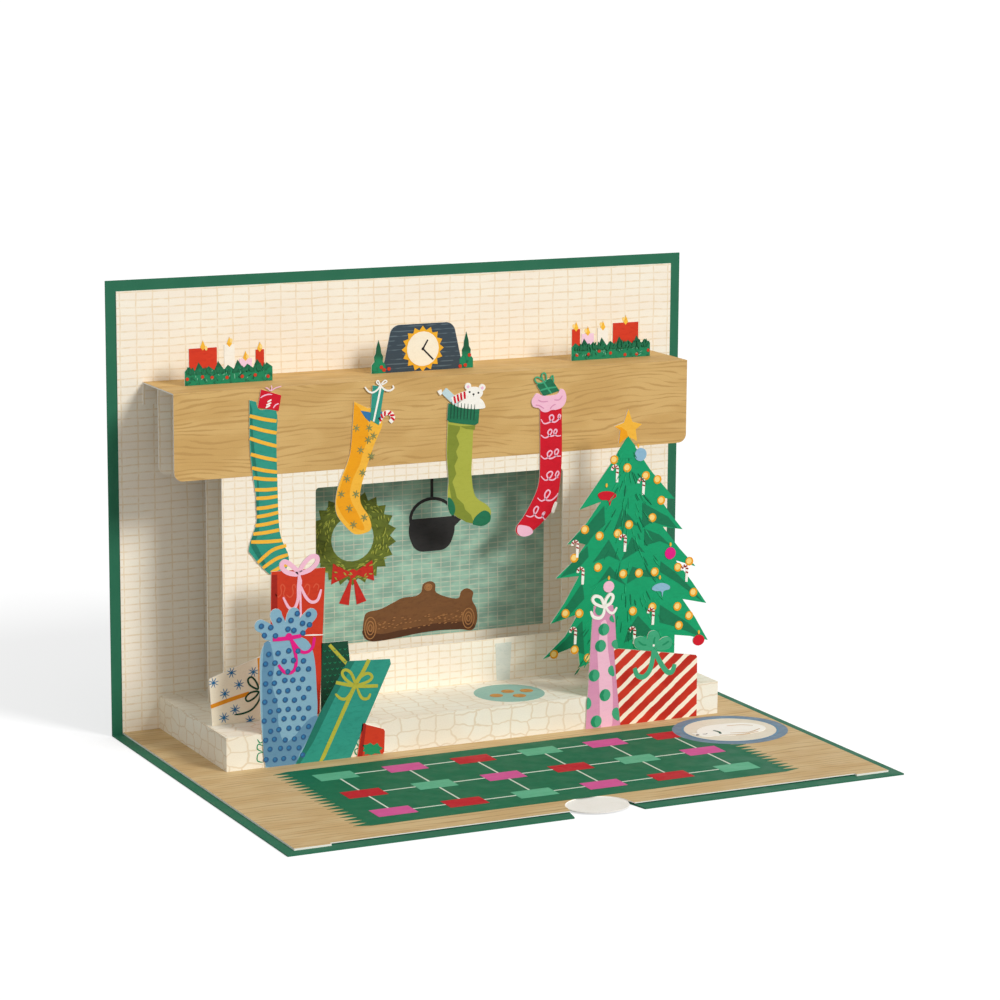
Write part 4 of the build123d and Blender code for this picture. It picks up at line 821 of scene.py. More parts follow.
# %% Its shade and its gift
shade = [
    leg(
        (
            (-3.7, -3.8), (-3.6, -12.8), (-3, -21.1), (-1.9, -25.6), (-2.2, -31.1), (-2, -36.6), (-3.7, -41.5),
            (-3.8, -43.1), (-2.1, -46.1), (0, -49.3), (0.9, -49.4), (-1.5, -44.4), (-2.4, -42.1), (-1.3, -38.3),
            (-1.4, -31.1), (-1.3, -26.7), (-2.1, -21.1), (-2.9, -12.8), (-3.1, -5.7),
        ),
    ),
]
striped("striped_shade", "teal_deep", shade)
striped("striped_gift", "crimson", [striped_gift], 1, ("stocking_gifts",))
tails = [
    ((2.2, -0.9), (1.5, -0.2), (0.8, 0.1)), ((2.2, -0.9), (2.6, -0.2), (2.5, 0.6)),
    ((2.4, -0.9), (3.7, -0.2), (5.4, 0.2)),
]
marks = strokes(tails, 0.3)
marks += strokes((((-0.7, -2.6), (0.2, -2.1), (1.5, -1.8), (2.7, -1.9)), ((3, -5.6), (3.7, -4.8), (4.6, -4.5))), 0.35)
striped("striped_gift_bow", "pink", marks, 2)
bars = strokes((((1.3, -3.9), (2.5, -3.3)), ((1, -4.7), (2.4, -4.1)), ((0.8, -5.4), (2.1, -4.8))), 0.45)
striped("striped_gift_bars", "white", bars, 2)

# %% [markdown]
# The second is gold, deeper in tone on its left, and scattered with small stars. A star is three crossed strokes,
# as a brush makes it. A blue lining shows in its mouth, with a teal gift and a cane whose bars cross its line.

# %% The starred stocking
starred = partial(film, "stockings", (-22.0, SHELF_UP))
STARRED_LEG = (
    (-4.1, -5.4), (-4.7, -14), (-5.5, -20.4), (-9, -29), (-9.7, -34.6), (-8.4, -38), (-4.4, -42.2), (-1, -42.4),
    (1, -41.2), (0.3, -37.8), (-2.2, -33.6), (-1.8, -28.5), (1.6, -18.5), (4.4, -12.1), (1.2, -11.6), (-0.9, -10.2),
    (-2.3, -8.3),
)
MOUTH = ((-4.1, -5.4), (-0.2, -7.4), (3.7, -7.7), (4.4, -12.1), (1, -12.2), (-2.4, -9))
starred_gift = patch(((1.5, -1.2), (5, -2), (3.3, -12.4), (0.7, -10.8)))
cane_line = ((3.2, -11.8), (3.8, -10.6), (4.6, -9.6), (6, -9.1), (7.2, -9.7), (7.5, -10.9), (6.7, -11.8))
CANE_WIDTH, CANE_BAR, CANE_BARS = 1.35, 1.2, 6
cane = stroke(cane_line, CANE_WIDTH, taper=0.8)
starred("starred_stocking", "gold", [leg(STARRED_LEG), patch(MOUTH), starred_gift, cane], 0, ("stocking_starred",))

# %% [markdown]
# The deeper gold is a patch with a soft edge, and the blue lining two small ones between gift and cuff. The cane is a
# white stroke, and its bars are short strokes across the same line, so both follow one curve.

# %% Its shade, its lining and what looks out
deep = leg(
    (
        (-4, -5.9), (-2.3, -7.5), (-1.1, -10), (0.1, -11.4), (0.1, -15.2), (-1.6, -20.1), (-2.4, -22.8),
        (-4.8, -27.7), (-5.3, -32.1), (-3, -36.8), (-1.1, -40.9), (-2.4, -41.3), (-6, -39.1), (-8.9, -34.6),
        (-9.1, -31.8), (-7, -25.3), (-5.5, -20.9), (-4.4, -12.1),
    ),
)
starred("starred_shade", "gold_deep", [deep])
starred(
    "starred_mouth", "blue",
    [
        patch(((-2.2, -8), (1, -8.7), (0.7, -11.4), (-0.7, -10.2))),
        patch(((3.3, -11.6), (4.2, -8.2), (4.4, -9.6), (3.4, -11.9))),
    ],
    2,
)
starred("starred_gift", "teal", [starred_gift], 3)
ties = [
    stroke(((3.9, -1.7), (3.1, -5.3), (1.7, -11.3)), 0.55, taper=0.9),
    stroke(((-0.9, -1.5), (0.2, -2.8), (1.5, -3.2), (3, -2.4), (3.7, -1.3)), 0.5),
    stroke(((3.8, -1.3), (5, -2.6), (6.5, -3), (7.7, -2.4), (7.5, -1.6)), 0.5),
]
ties += [loop(((3.7, -1.3), (2.6, -0.5), (3.1, 0)), 0.35), loop(((3.9, -1.3), (5, -0.1), (5.7, -0.5)), 0.35)]
starred("starred_gift_ties", "white", ties, 4)
starred("cane_white", "white", [cane], 2)


def bars_on(line, width, count, lean=0.5, share=0.5):
    """Slanting bars along a cane: at even places on its line, a short stroke across it."""
    curve = smooth(line)
    places = np.linspace(0, len(curve) - 1, count + 2)[1:-1].astype(int)
    run = np.gradient(curve, axis=0)[places]
    run /= np.linalg.norm(run, axis=1, keepdims=True)
    side = np.stack([-run[:, 1], run[:, 0]], axis=1) + lean * run
    ends = [[spot - width / 2 * way, spot + width / 2 * way] for spot, way in zip(curve[places], side)]
    return strokes(ends, width * share, taper=0.9, steps=2)


starred("cane_bars", "crimson", bars_on(cane_line, CANE_BAR, CANE_BARS), 3)

# %% [markdown]
# The stars are drawn with three quick strokes each, and no two rows line up. One could scatter them by chance, but
# thirteen are few enough that a gap would show, so each has its own place.

# %% Its stars
star_spots = (
    (-3.4, -12.8), (0.4, -13), (1.7, -15.3), (-2.2, -19), (-6.3, -26.7), (-1.6, -25.4), (-8, -30.9), (-3.6, -31.2),
    (-5.6, -35.1), (-1.1, -38), (-4.4, -39.7), (0.1, -16.3), (1, -20.9),
)
STAR_REACH, STAR_PEN = 1.15, 0.32
stars = asterisks(star_spots, STAR_REACH, STAR_PEN)
starred("star_marks", "grey_green", stars, 2)

# %% [markdown]
# The third is ribbed: lime, with a ragged shade down its left, and a dark green cuff, heel and toe. A plain toy bear
# looks out of it, beside a striped cloth and a wrapped sweet. The shade is a patch with a torn edge, not a gradient,
# since the real one is a second pass of a dry brush.

# %% The ribbed stocking
ribbed = partial(film, "stockings", (8.0, SHELF_UP))
RIBBED_LEG = (
    (-5.4, -8), (-6.0, -21), (-5.4, -29), (-5.6, -34.5), (-3.6, -39.4), (2.4, -42.4), (6.6, -42.4),
    (7.9, -39.6), (6.6, -37.4), (3, -34.6), (1.8, -29), (1.9, -22.8), (2.5, -9),
)
toe = patch(
    ((5.2, -39), (6.9, -39.3), (7.8, -40.7), (7.3, -42.4), (5.2, -43.3), (2.7, -42.8), (2.1, -42.3), (2.9, -40.6)),
    True,
)
heel = patch(((-5.5, -34.4), (-4.2, -35.2), (-3.3, -37.4), (-3.7, -39.3), (-4.7, -39.2), (-5.5, -37.3)), True)
cuff = patch(
    (
        (-5.5, -7.6), (-3.8, -8.4), (-0.1, -9.2), (3.6, -9.4), (4.1, -10.1), (3.8, -13.9), (2.7, -14.4),
        (-1.9, -13.7), (-5.2, -13), (-5.9, -12.3), (-5.7, -9.5),
    ),
)
bear = patch(
    (
        (-3, -8.7), (-1.9, -7.5), (-0.1, -6.6), (1.2, -6.2), (3.6, -6.6), (5, -7.5), (5.8, -9), (5.4, -9.8),
        (1.2, -9.7),
    ),
    True,
)
head = patch(
    (
        (0.2, -4.1), (1.4, -3.6), (3.1, -3.6), (4.7, -4.3), (5.1, -5.6), (4, -6.9), (2.3, -7.2), (0.7, -6.4),
        (-0.1, -5.2),
    ),
    True,
)
ears = dots(((0.5, -3.3), (4.9, -3.9)), 1.0)
SWEET_WIDTH = 2.1
sweet = stroke(((-6.9, -4), (-5.1, -5.7), (-2.7, -7.9)), SWEET_WIDTH, taper=0.9)
sweet_end = patch(((-8.9, -4.1), (-7.7, -3.6), (-7.4, -4.9), (-8.1, -5.3)))
cloth_line = ((-4.3, -7.1), (-2.1, -6.2), (0.2, -5.5))
CLOTH_WIDTH = 2.1
CLOTH_BAR, CLOTH_BARS, CLOTH_LEAN, CLOTH_SHARE = 2.0, 4, 0.2, 0.32
cloth = stroke(cloth_line, CLOTH_WIDTH, taper=0.95)
ribbed(
    "ribbed_stocking", "lime", [leg(RIBBED_LEG), cuff, toe, heel, bear, head, *ears, sweet, sweet_end, cloth], 0,
    ("stocking_ribbed",),
)

# %% [markdown]
# Cuff, heel and toe are part of the sheet, and get their green here. The ribs of the cuff are short dark strokes that
# lean as the cuff does. The outlines of bear, cloth and sweet are part of the sheet too, and get their ink here.

# %% Its shade, its cuff and what looks out
ragged = patch(
    (
        (-5.5, -13.6), (-1.9, -14.4), (-2, -15.4), (-3, -17), (-2.1, -19.5), (-3.1, -21.5), (-2.5, -23.3),
        (-3.6, -25.5), (-3, -27.8), (-4.2, -30), (-3.4, -32.3), (-2.8, -34.6), (-0.7, -36.6), (-0.2, -38.2),
        (1.6, -39.8), (2.6, -42.5), (0.1, -41.8), (-3.5, -39.5), (-4.5, -34.5), (-5.4, -29.9), (-5.8, -21.9),
    ),
)
ribbed("ribbed_shade", "olive", [ragged, patch(((-1.9, -14.4), (2.8, -14.5), (2.7, -15.7), (0, -15.3)))])
ribbed("green_cuff", "green", [cuff, toe, heel], 2, ("stocking_green_cuff",))
RIBS, RIB_LEAN = 8, 0.25
CUFF_LEFT, RIB_START, RIB_END = 5, -4.6, 2.6
RIB_TOP, TOP_FALL, RIB_LOW, LOW_FALL = -7.2, 0.18, -12, 0.12
ribs = [
    ((x, RIB_TOP - TOP_FALL * (x + CUFF_LEFT)), (x - RIB_LEAN, RIB_LOW - LOW_FALL * (x + CUFF_LEFT)))
    for x in np.linspace(RIB_START, RIB_END, RIBS)
]
ribbed("cuff_ribs", "green_black", strokes(ribs, 0.3, steps=3), 3)
ribbed("toy_bear", "white", [sweet_end, cloth, bear, head, *ears], 3, ("stocking_toy",))
ribbed("sweet", "blue_ice", [sweet], 3)
ribbed("cloth_bars", "crimson", bars_on(cloth_line, CLOTH_BAR, CLOTH_BARS, CLOTH_LEAN, CLOTH_SHARE), 4)
face = dots(((1, -4.9), (3.7, -5.3)), 0.3)
face += [dot(2.2, -5.6, 0.36, 0.7), stroke(((2.2, -5.6), (2.2, -6.3)), 0.14, steps=2)]
ribbed("bear_face", "black", face, 4)
ribbed("bear_ears", "pink", dots(((0.5, -3.4), (4.9, -4)), 0.45), 4)

# %% [markdown]
# The fourth is red, with rows of white curls, and has a cuff and toe of pink fluff. Each row of curls is one line
# drawn without lifting the pen, so it is one stroke through all its loops. The fluff is a soft patch with wisps.

# %% The curled stocking
curled = partial(film, "stockings", (35.0, SHELF_UP))
CURLED_LEG = (
    (-4.0, -8), (-3.8, -25.1), (-4.4, -33.5), (-8.4, -41), (-11.2, -44.6), (-10.6, -46.8), (-8.2, -47), (-3.4, -44.2),
    (1.4, -38.4), (3.1, -27), (2.9, -8),
)
fluff = patch(
    (
        (-4.9, -6.6), (-6, -7.6), (-6.6, -8.9), (-6, -10.4), (-4.3, -10.9), (-3.3, -11.9), (-1.8, -12.2),
        (-0.4, -11.7), (1.1, -11.7), (2.7, -11.3), (3.9, -10.2), (4.4, -8.4), (3.8, -6.4), (2.5, -5.8), (1.7, -7.1),
        (0, -7.5), (-3, -7.4),
    ),
    True,
)
fluff_toe = patch(
    ((-10.5, -44.1), (-8.7, -44.2), (-6.8, -44.9), (-5.8, -46.4), (-7.3, -47.3), (-9.4, -47.3), (-10.8, -46)), True,
)
curled_gift = patch(((-5.1, -4.2), (-0.6, -2.5), (2.2, -6.3), (-2.9, -7.6)))
curled("curled_stocking", "crimson", [leg(CURLED_LEG), curled_gift, fluff, fluff_toe], 0, ("stocking_curled",))

# %% [markdown]
# Six rows of curls run across the leg. Repeating one row would look stamped, since on the real card no row is like
# another, so each has its own points. The gift's ties are loops and strokes in a paler green.

# %% Its curls, its fluff and its gift
curls = (
    (
        (-3.6, -14.1), (-2.6, -15.4), (-0.8, -15.1), (0.4, -14.1), (0, -13.1), (-0.9, -13.5), (-0.6, -14.7),
        (0.7, -15.2), (1.8, -14.6), (2.6, -13.6), (2.1, -13.1), (1.8, -13.9), (2.6, -14.4),
    ),
    (
        (-3.6, -18.6), (-2.3, -19.5), (-0.8, -18.9), (-0.1, -17.7), (-0.7, -17.2), (-1.4, -18), (-0.7, -19.1),
        (0.7, -18.9), (1.5, -17.8), (1, -17.3), (0.5, -18.2), (1.4, -19.2), (2.8, -19.2),
    ),
    (
        (-3.6, -24.5), (-2.4, -25.5), (-0.9, -25), (0, -23.9), (-0.6, -23.3), (-1.5, -24.1), (-0.9, -25.5),
        (0.8, -25.2), (2, -23.8), (1.6, -23), (0.8, -23.7), (1.3, -24.9), (2.8, -25.1),
    ),
    (
        (-3.5, -30.4), (-2.1, -31.7), (-0.6, -31.1), (0.2, -29.8), (-0.5, -29.3), (-1.6, -30.1), (-0.9, -31.5),
        (0.7, -31.7), (2.2, -30.2), (1.8, -29.4), (1.1, -30.5), (2, -31.3),
    ),
    (
        (-4.5, -36.6), (-3.2, -37.6), (-1.5, -36.8), (-0.5, -35.3), (-1.2, -34.6), (-2.2, -35.7), (-1.8, -37.3),
        (-0.1, -37.6), (1.5, -36.5), (2, -35.7),
    ),
    (
        (-8.1, -41.4), (-6.5, -41.9), (-4.9, -40.9), (-4.2, -39.5), (-4.9, -39.1), (-5.7, -40.2), (-4.9, -42),
        (-3.3, -42.4), (-2.1, -40.9), (-2.9, -41.4), (-2.5, -42.7), (-1.7, -43.2),
    ),
)
CURL_PEN = 0.42
curled("white_curls", "pink", strokes(curls, CURL_PEN, taper=0.6), 2)
curled("foot_shine", "white", [stroke(((0.3, -41.3), (0.8, -39.9), (1.5, -38.2)), 1.1)], 2)
curled("pink_fluff", "pink", [fluff, fluff_toe], 2, ("stocking_pink_cuff",))
wisps = (
    ((-4.6, -8.5), (-3.3, -9.1), (-1.4, -9.1)), ((0.5, -8.8), (2.1, -8.9), (3.1, -7.8)),
    ((-0.8, -11.4), (0, -10.5), (1, -10.1)), ((-5.3, -9.9), (-4.1, -10.2), (-2.7, -11.1)),
)
curled("fluff_wisps", "pink_deep", strokes(wisps, 0.35), 3)
curled("curled_gift", "green", [curled_gift])
ties = strokes(
    (
        ((-2.9, -3.5), (-1.6, -5.4), (-0.3, -7)), ((-4, -5.9), (-1.6, -5.4), (1.3, -5.2)),
        ((-0.8, -2.8), (0, -1.9), (0.3, -3.8)),
    ),
    0.45,
)
ties += [
    loop(((-2.7, -3.6), (-4.9, -3.7), (-5.6, -2.5), (-4.9, -2), (-3.6, -2.6)), 0.4),
    loop(((-2.5, -3.5), (-3.4, -2.3), (-3.3, -1.1), (-2.4, -1.1), (-2, -2.4)), 0.4),
]
curled("curled_gift_ties", "jade", ties, 2)

# %% [markdown]
# The tree is one sheet with its star and trunk. Its tiers are told apart by the dark under each fringe, and by
# strokes that fan outwards: each starts at a random place and leans the more, the farther it is from the trunk.
# Balls and canes are placed one by one, since a designer spreads them by eye.

# %% The tree
on_tree = partial(film, "tree", (53.3, HEARTH_UP))
TONGUE = 3.2
TREE_EDGE = (
    (6.4, 4.2), (14.9, 1.6), (15, 11.4), (20, 10.6), (26, 8.8), (21.6, 16), (17.4, 21.7), (25.3, 19.8), (20.4, 26.6),
    (15.0, 33.2), (21.6, 30.9), (16, 36.8), (10.6, 43.4), (17.1, 42.1), (12.6, 47.4), (9.4, 51.8), (14.3, 51.2),
    (6.3, 60.1), (-1.1, 70.4), (-6.3, 63), (-16.3, 50.4), (-9.4, 52.2), (-14, 46.4), (-20.1, 40.7), (-13.2, 41.6),
    (-17.6, 36.2), (-23.6, 31.3), (-16.2, 31.4), (-20.6, 24.2), (-25.1, 18.4), (-16.4, 20.4), (-20.4, 14.4),
    (-27.5, 8.4), (-16.4, 11.4), (-15.6, 4.9), (-10.4, 6.6), (-6.8, 1.6),
)
STAR_EDGE = (
    (-1.1, 78), (0.2, 74.4), (3.3, 73.5), (1.3, 72.1), (1.8, 68.7),
    (-1.1, 70.2), (-4, 68.4), (-3.6, 72.2), (-5.5, 73.4), (-2.5, 74.3),
)
GOLD_BALLS = (
    (-5.4, 63.9), (-1.2, 61.3), (4.8, 58.6), (8.6, 57.2), (9.9, 51.1), (7.1, 46.3), (-0.4, 44.9), (-4, 42.6),
    (-9.8, 42.4), (-14.5, 44.6), (-17.8, 36.7), (-10.2, 33.4), (-2.1, 30.8), (3, 30.6), (8.1, 30.5), (19.4, 32.6),
    (15.7, 31.2), (20.9, 23.4), (15.7, 19.7), (19.6, 16.7), (16.3, 14.1), (1.2, 19.7), (7.5, 20.3), (-16, 20.6),
    (-20.4, 21), (-23.9, 9.5), (-17.4, 10.2), (-13.1, 7.4),
)


def tongue(middle, half):
    """The tongue of an upright sheet, which goes down through a slot in the hearth."""
    return patch(((middle - half, -TONGUE), (middle + half, -TONGUE), (middle + half, 0), (middle - half, 0)))


TRUNK_HALF = 4
ROUND_SIDES = 16
TRUNK = ((-4, -0.3), (4, -0.3), (4, 5), (-4, 5))
GOLD_RADIUS, ROUND_RADIUS, BIG_RADIUS = 1.3, 1.75, 1.9
red_ball = dot(22.9, 9.1, BIG_RADIUS, 0.85, ROUND_SIDES)
red_drop = patch(
    (
        (-10.5, 54.3), (-9.2, 55), (-7, 55), (-5.1, 54.3), (-4.7, 53.3), (-6.1, 52.4), (-6.7, 50.8), (-7.3, 52.4),
        (-9.5, 52.8),
    ),
    True,
)
blue_ball = dot(3, 64.8, BIG_RADIUS, 1.0, ROUND_SIDES)
blue_drop = patch(
    ((7.2, 25.7), (8.6, 26.8), (10.9, 27), (13, 26), (12.9, 25), (11.1, 24.6), (10.7, 23), (10.2, 24.6), (8.3, 24.9)),
    True,
)
magenta_ball = dot(13.1, 35.5, ROUND_RADIUS, 1.0, ROUND_SIDES)
rose_ball = dot(-6.7, 27.5, ROUND_RADIUS, 0.95, ROUND_SIDES)
balls = dots(GOLD_BALLS, GOLD_RADIUS)
on_tree(
    "tree_sheet", "tree",
    [patch(TREE_EDGE), patch(STAR_EDGE), patch(TRUNK), tongue(0, TRUNK_HALF), *balls, red_ball, blue_ball], 0,
    ("tree",),
)

# %% [markdown]
# A printed tree is flat, and its depth is only paint. The dark under each fringe is a patch cut to its shape. The
# needles could be a noise in the material, but then they wouldn't fan out from the trunk, so each is a stroke.

# %% The tree's shade and its strokes
dark = patches(
    (
        ((-8.4, 51), (-13.5, 45.9), (-18.9, 41.8), (-13.8, 40.1), (-12.1, 42.4), (-8.1, 45.5)),
        ((-2.6, 49.9), (-5.7, 42.4), (-3.4, 44.5), (0.9, 44.8), (2.6, 44.3)),
        ((3.8, 50.9), (3.9, 43.6), (7, 45.1), (15.5, 42.4), (12.2, 46.2)),
        ((-13.6, 39.9), (-17.2, 36.8), (-22.2, 31.5), (-17.5, 32.5), (-13.2, 36.7)),
        ((-6.8, 41.1), (-9.6, 37.6), (-12, 34.8), (-6.7, 36.4), (-3, 34.6)),
        ((0.6, 41.3), (-1.6, 36.9), (-2.8, 34.6), (2.6, 37.1), (4.8, 36.4)),
        ((4.6, 43.3), (4.6, 38.4), (9.7, 39.3), (13.1, 37.8), (9.7, 41.1)),
        ((-6.4, 33.4), (-10.1, 28.9), (-13.3, 27.4), (-6.6, 30.4), (-1, 27.4)),
        ((0.9, 32.6), (-0.5, 29.8), (-0.8, 27.8), (3.4, 29.8), (9.9, 28.4), (5.9, 31)),
        ((10.1, 33.4), (9.8, 30.4), (15.8, 26.6), (24.1, 20.3), (20.4, 24.5), (15.1, 29.6)),
        ((-15.1, 29.4), (-19.6, 23.7), (-24, 18.8), (-19, 20.5), (-14.4, 24.7)),
        ((10, 20.7), (10, 15.5), (15.4, 13.8), (24.3, 9.7), (19.3, 14.6)),
        ((2.9, 18.2), (-0.3, 14.1), (-1.5, 10.6), (3.6, 12.4), (9.5, 11.3)),
        ((-15, 18.4), (-20.2, 13.4), (-26.1, 8.8), (-18.9, 10.8), (-14.2, 8.5)),
    ),
)
on_tree("tree_shade", "tree_dark", dark)
chance = np.random.default_rng(11)
FAN, FAN_REACH = 150, 0.72
TREE_HALF, TREE_TOP = 24, 74
FAN_LOW, FAN_HIGH, FAN_LEAN = 3, 66, 0.9
FAN_SHORT, FAN_LONG, FAN_THIN, FAN_THICK = 1.6, 3.6, 0.18, 0.5
heights = chance.uniform(FAN_LOW, FAN_HIGH, FAN)
reach = FAN_REACH * TREE_HALF * (1 - heights / TREE_TOP)
places = chance.uniform(-1, 1, FAN) * reach - 1
lengths = chance.uniform(FAN_SHORT, FAN_LONG, FAN)
leans = (places + 1) / np.maximum(reach, 1) * FAN_LEAN
tips = np.stack([places + leans * lengths, heights - lengths], axis=1)
fans = [
    stroke([(x, z), tip], width, taper=0.2, steps=2)
    for x, z, tip, width in zip(places, heights, tips, chance.uniform(FAN_THIN, FAN_THICK, FAN))
]
on_tree("tree_strokes_dark", "tree_dark", fans[: FAN // 2], 2)
on_tree("tree_strokes_light", "tree_light", fans[FAN // 2 :], 2)

# %% [markdown]
# The star, the balls and the canes are painted on the same sheet. Each ball is a round spot with a paler one a little
# up and to the left, where the light falls, as a painter does it. Every cane is the same hook set at its own place.

# %% The tree's star, balls and canes
LIGHT = (-0.15, 0.1)
SHINE_RADIUS = 0.85
on_tree("tree_star", "gold", [patch(STAR_EDGE)], 3)
on_tree(
    "tree_star_shade", "gold_deep",
    [patch(((-1.1, 70.2), (-4, 68.4), (-3.6, 72.2), (-5.5, 73.4), (-3.2, 73.0), (-1.6, 71.8)))], 4,
)
on_tree("tree_tip", "tree", [patch(((-1.1, 70.4), (1.3, 67.4), (0.6, 64), (-3.4, 64), (-4.4, 66)))], 4)
on_tree("gold_balls", "gold_deep", balls, 3, ("tree_gold",))
on_tree("ball_shine", "gold_pale", dots(np.add(GOLD_BALLS, LIGHT), SHINE_RADIUS), 4)
on_tree("red_balls", "crimson", [red_ball, red_drop], 5, ("tree_red",))
on_tree("blue_balls", "blue_pale", [blue_ball, blue_drop], 5, ("tree_blue",))
on_tree("magenta_ball", "magenta", [magenta_ball], 5)
on_tree("rose_ball", "pink", [rose_ball], 5, ("tree_pink",))
caps = ((22.9, 10.9), (-7.8, 56.2), (2.2, 66.8), (9.8, 28.2), (13.1, 37.5), (-6.7, 29.5))
CAP = ((0, 0), (0, 1.1))
on_tree("ball_caps", "gold", strokes([np.add(CAP, spot) for spot in caps], 0.7, steps=2), 6)
CANES = (
    (-5, 59.8), (3.5, 55.5), (-17.4, 39.2), (-15.6, 31.3), (-2.2, 39.6), (18, 29.1), (-17.8, 14.2), (1.2, 12.5),
    (7.2, 17.5),
)
HOOK = ((-1.1, 1.1), (-0.8, 2.0), (0, 2.3), (0.6, 1.7), (0.6, 0.4), (0.5, -2.4))
SMALL_CANE, SMALL_BAR, SMALL_BARS, SMALL_LEAN = 0.85, 0.8, 5, 0.4
cane_lines = [np.add(HOOK, spot) for spot in CANES]
on_tree("small_canes", "white", strokes(cane_lines, SMALL_CANE, taper=0.9), 5)
small_bars = [bar for line in cane_lines for bar in bars_on(line, SMALL_BAR, SMALL_BARS, SMALL_LEAN)]
on_tree("small_cane_bars", "red_deep", small_bars, 6)

# %% [markdown]
# The back row of gifts is one sheet: a pale box with snow crystals, a tall red one and a dark green one. The cut
# follows all three and the bow above them, so the sheet is the sum of their patches, and each gets its own ink.

# %% The back row of gifts
at_back = partial(film, "back", (-74.0, HEARTH_UP))
SNOW_BOX = ((0.3, 0), (-0.4, 13), (14.4, 17.8), (17.9, 17.8), (17.9, 0))
TALL_BOX = ((16.8, 0), (17.7, 40.8), (33.5, 40.6), (31.6, 0))
DARK_BOX = ((32.0, 0), (32.2, 19.7), (40.1, 19.6), (40.7, 13.6), (40.2, 0))
BACK_TONGUES, BACK_TONGUE_HALF = (9, 30), 5
tongues = [tongue(middle, BACK_TONGUE_HALF) for middle in BACK_TONGUES]
tall_loops = [
    loop(((25.7, 39.7), (23.4, 42.2), (21.7, 43.2), (20.7, 42.4), (21.4, 40.9), (23.4, 39.8)), 1.3),
    loop(((26, 39.9), (27.2, 42.2), (29.3, 43.9), (31, 43.7), (30.9, 42), (28.7, 40.3)), 1.3),
]
at_back(
    "back_gifts", "cream", [patch(SNOW_BOX), patch(TALL_BOX), patch(DARK_BOX), *tongues, *tall_loops], 0,
    ("gifts_back",),
)
at_back("tall_gift", "red", [patch(TALL_BOX)], 1, ("gift_tall",))
at_back("tall_gift_side", "red_deep", [patch(((17.8, 39.9), (19.4, 39.9), (19.4, 25.5), (17.7, 25.7)))], 2)
faint = [
    ((18.8, 34.6), (19.7, 33.7), (20.6, 34.7), (20.4, 36.5), (21, 37), (21.6, 36), (21.2, 34.2), (22, 33.1)),
    ((22, 34.1), (23.1, 33.3), (24, 34.3), (23.8, 36.2), (24.4, 36.7), (24.8, 35.7)),
    ((27.3, 35.5), (28, 36.4), (28.8, 35.9), (28.6, 34), (27.8, 33)),
    ((29.9, 35.3), (30.7, 36.3), (31.5, 35.7), (31.2, 34.4)),
]
at_back("tall_gift_curls", "red_light", strokes(faint, 0.4), 2)
tails = [
    stroke(((25.8, 39.6), (25.5, 36), (25.4, 32.6), (24.3, 30.1), (22.7, 30.5), (21.1, 33.5)), 0.85),
    stroke(((26, 36.6), (27.6, 33.1), (29.4, 31.4), (31.2, 31.9), (32.2, 34.7)), 0.85),
    stroke(((25.9, 39.6), (26.1, 33.2), (26.2, 26.8)), 0.6, taper=0.95),
    stroke(((26, 38.7), (26.3, 36.5)), 0.9, steps=2),
]
at_back("tall_gift_bow", "pink", tall_loops + tails, 3, ("ribbons_back",))
at_back("tall_gift_line", "white", [stroke(((27.1, 22.4), (32.8, 22)), 0.4, steps=2)], 3)

# %% [markdown]
# The pale box has blue snow crystals and an orange band, and the dark one a lattice of small ticks. The ticks are
# all alike and stand in even rows, so a grid places them. The crystals don't, so each has its own place.

# %% The snow box and the dark one
flakes = ((0.8, 11.8), (6, 14.1), (12.3, 13.7), (8.1, 10.6), (4, 8.5), (6.9, 3.8), (3.7, 1.9), (11.2, 0.3))
FLAKE_REACH, FLAKE_PEN, FLAKE_ARMS = 1.5, 0.26, 4
crystals = asterisks(flakes, FLAKE_REACH, FLAKE_PEN, FLAKE_ARMS)
at_back("snow_crystals", "blue", crystals)
bands = [
    stroke(((-0.1, 5.3), (5.5, 6.7), (11, 7.9)), 1.1, taper=0.95),
    stroke(((13.9, 17.4), (14.2, 13.8), (14.3, 9.9)), 0.9, taper=0.95),
]
at_back("snow_gift_bands", "orange", bands, 2)
bow = [
    loop(((13.6, 8.8), (11.3, 10.1), (10.7, 11.7), (11.8, 12.3), (13.2, 10.6)), 0.5),
    loop(((13.7, 8.1), (11.3, 8), (10, 6.7), (10.7, 5.7), (12.7, 6.6)), 0.5),
    stroke(((14.2, 8.3), (13.9, 5.8), (11.9, 3.4), (9.2, 2.5), (6.7, 2.4)), 0.5),
    stroke(((14, 8.2), (14.4, 6.9), (14.1, 5.5)), 0.5),
]
at_back("snow_gift_bow", "green_black", bow, 3)
at_back("dark_gift", "green_black", [patch(DARK_BOX)], 1, ("gift_dark",))
rows, columns = np.meshgrid(np.arange(9), np.arange(5), indexing="ij")
MARK_START, MARK_PITCH, MARK_SHIFT, MARK_LOW, MARK_RISE = 33.2, 1.5, 0.75, 3.2, 1.75
lattice = [MARK_START + MARK_PITCH * columns + MARK_SHIFT * (rows % 2), MARK_LOW + MARK_RISE * rows]
spots = np.stack(lattice, axis=2).reshape(-1, 2)
TICK = ((-0.4, 0.4), (0, 0), (0.4, 0.4))
at_back("dark_gift_marks", "leaf", strokes([np.add(TICK, spot) for spot in spots], 0.22, steps=1), 2)
at_back("dark_gift_ribbon", "ribbon_olive", [stroke(((34.6, 19), (37.7, 15.5), (40.1, 12.8)), 1.0, taper=0.95)], 3)

# %% [markdown]
# In front of the hearth, at the left, stand a tied bag with dots, a leaning teal box, and a small red one. The
# bag's gathered top is five broad strokes from the knot. Its dots lie on a staggered lattice, each a little astray.

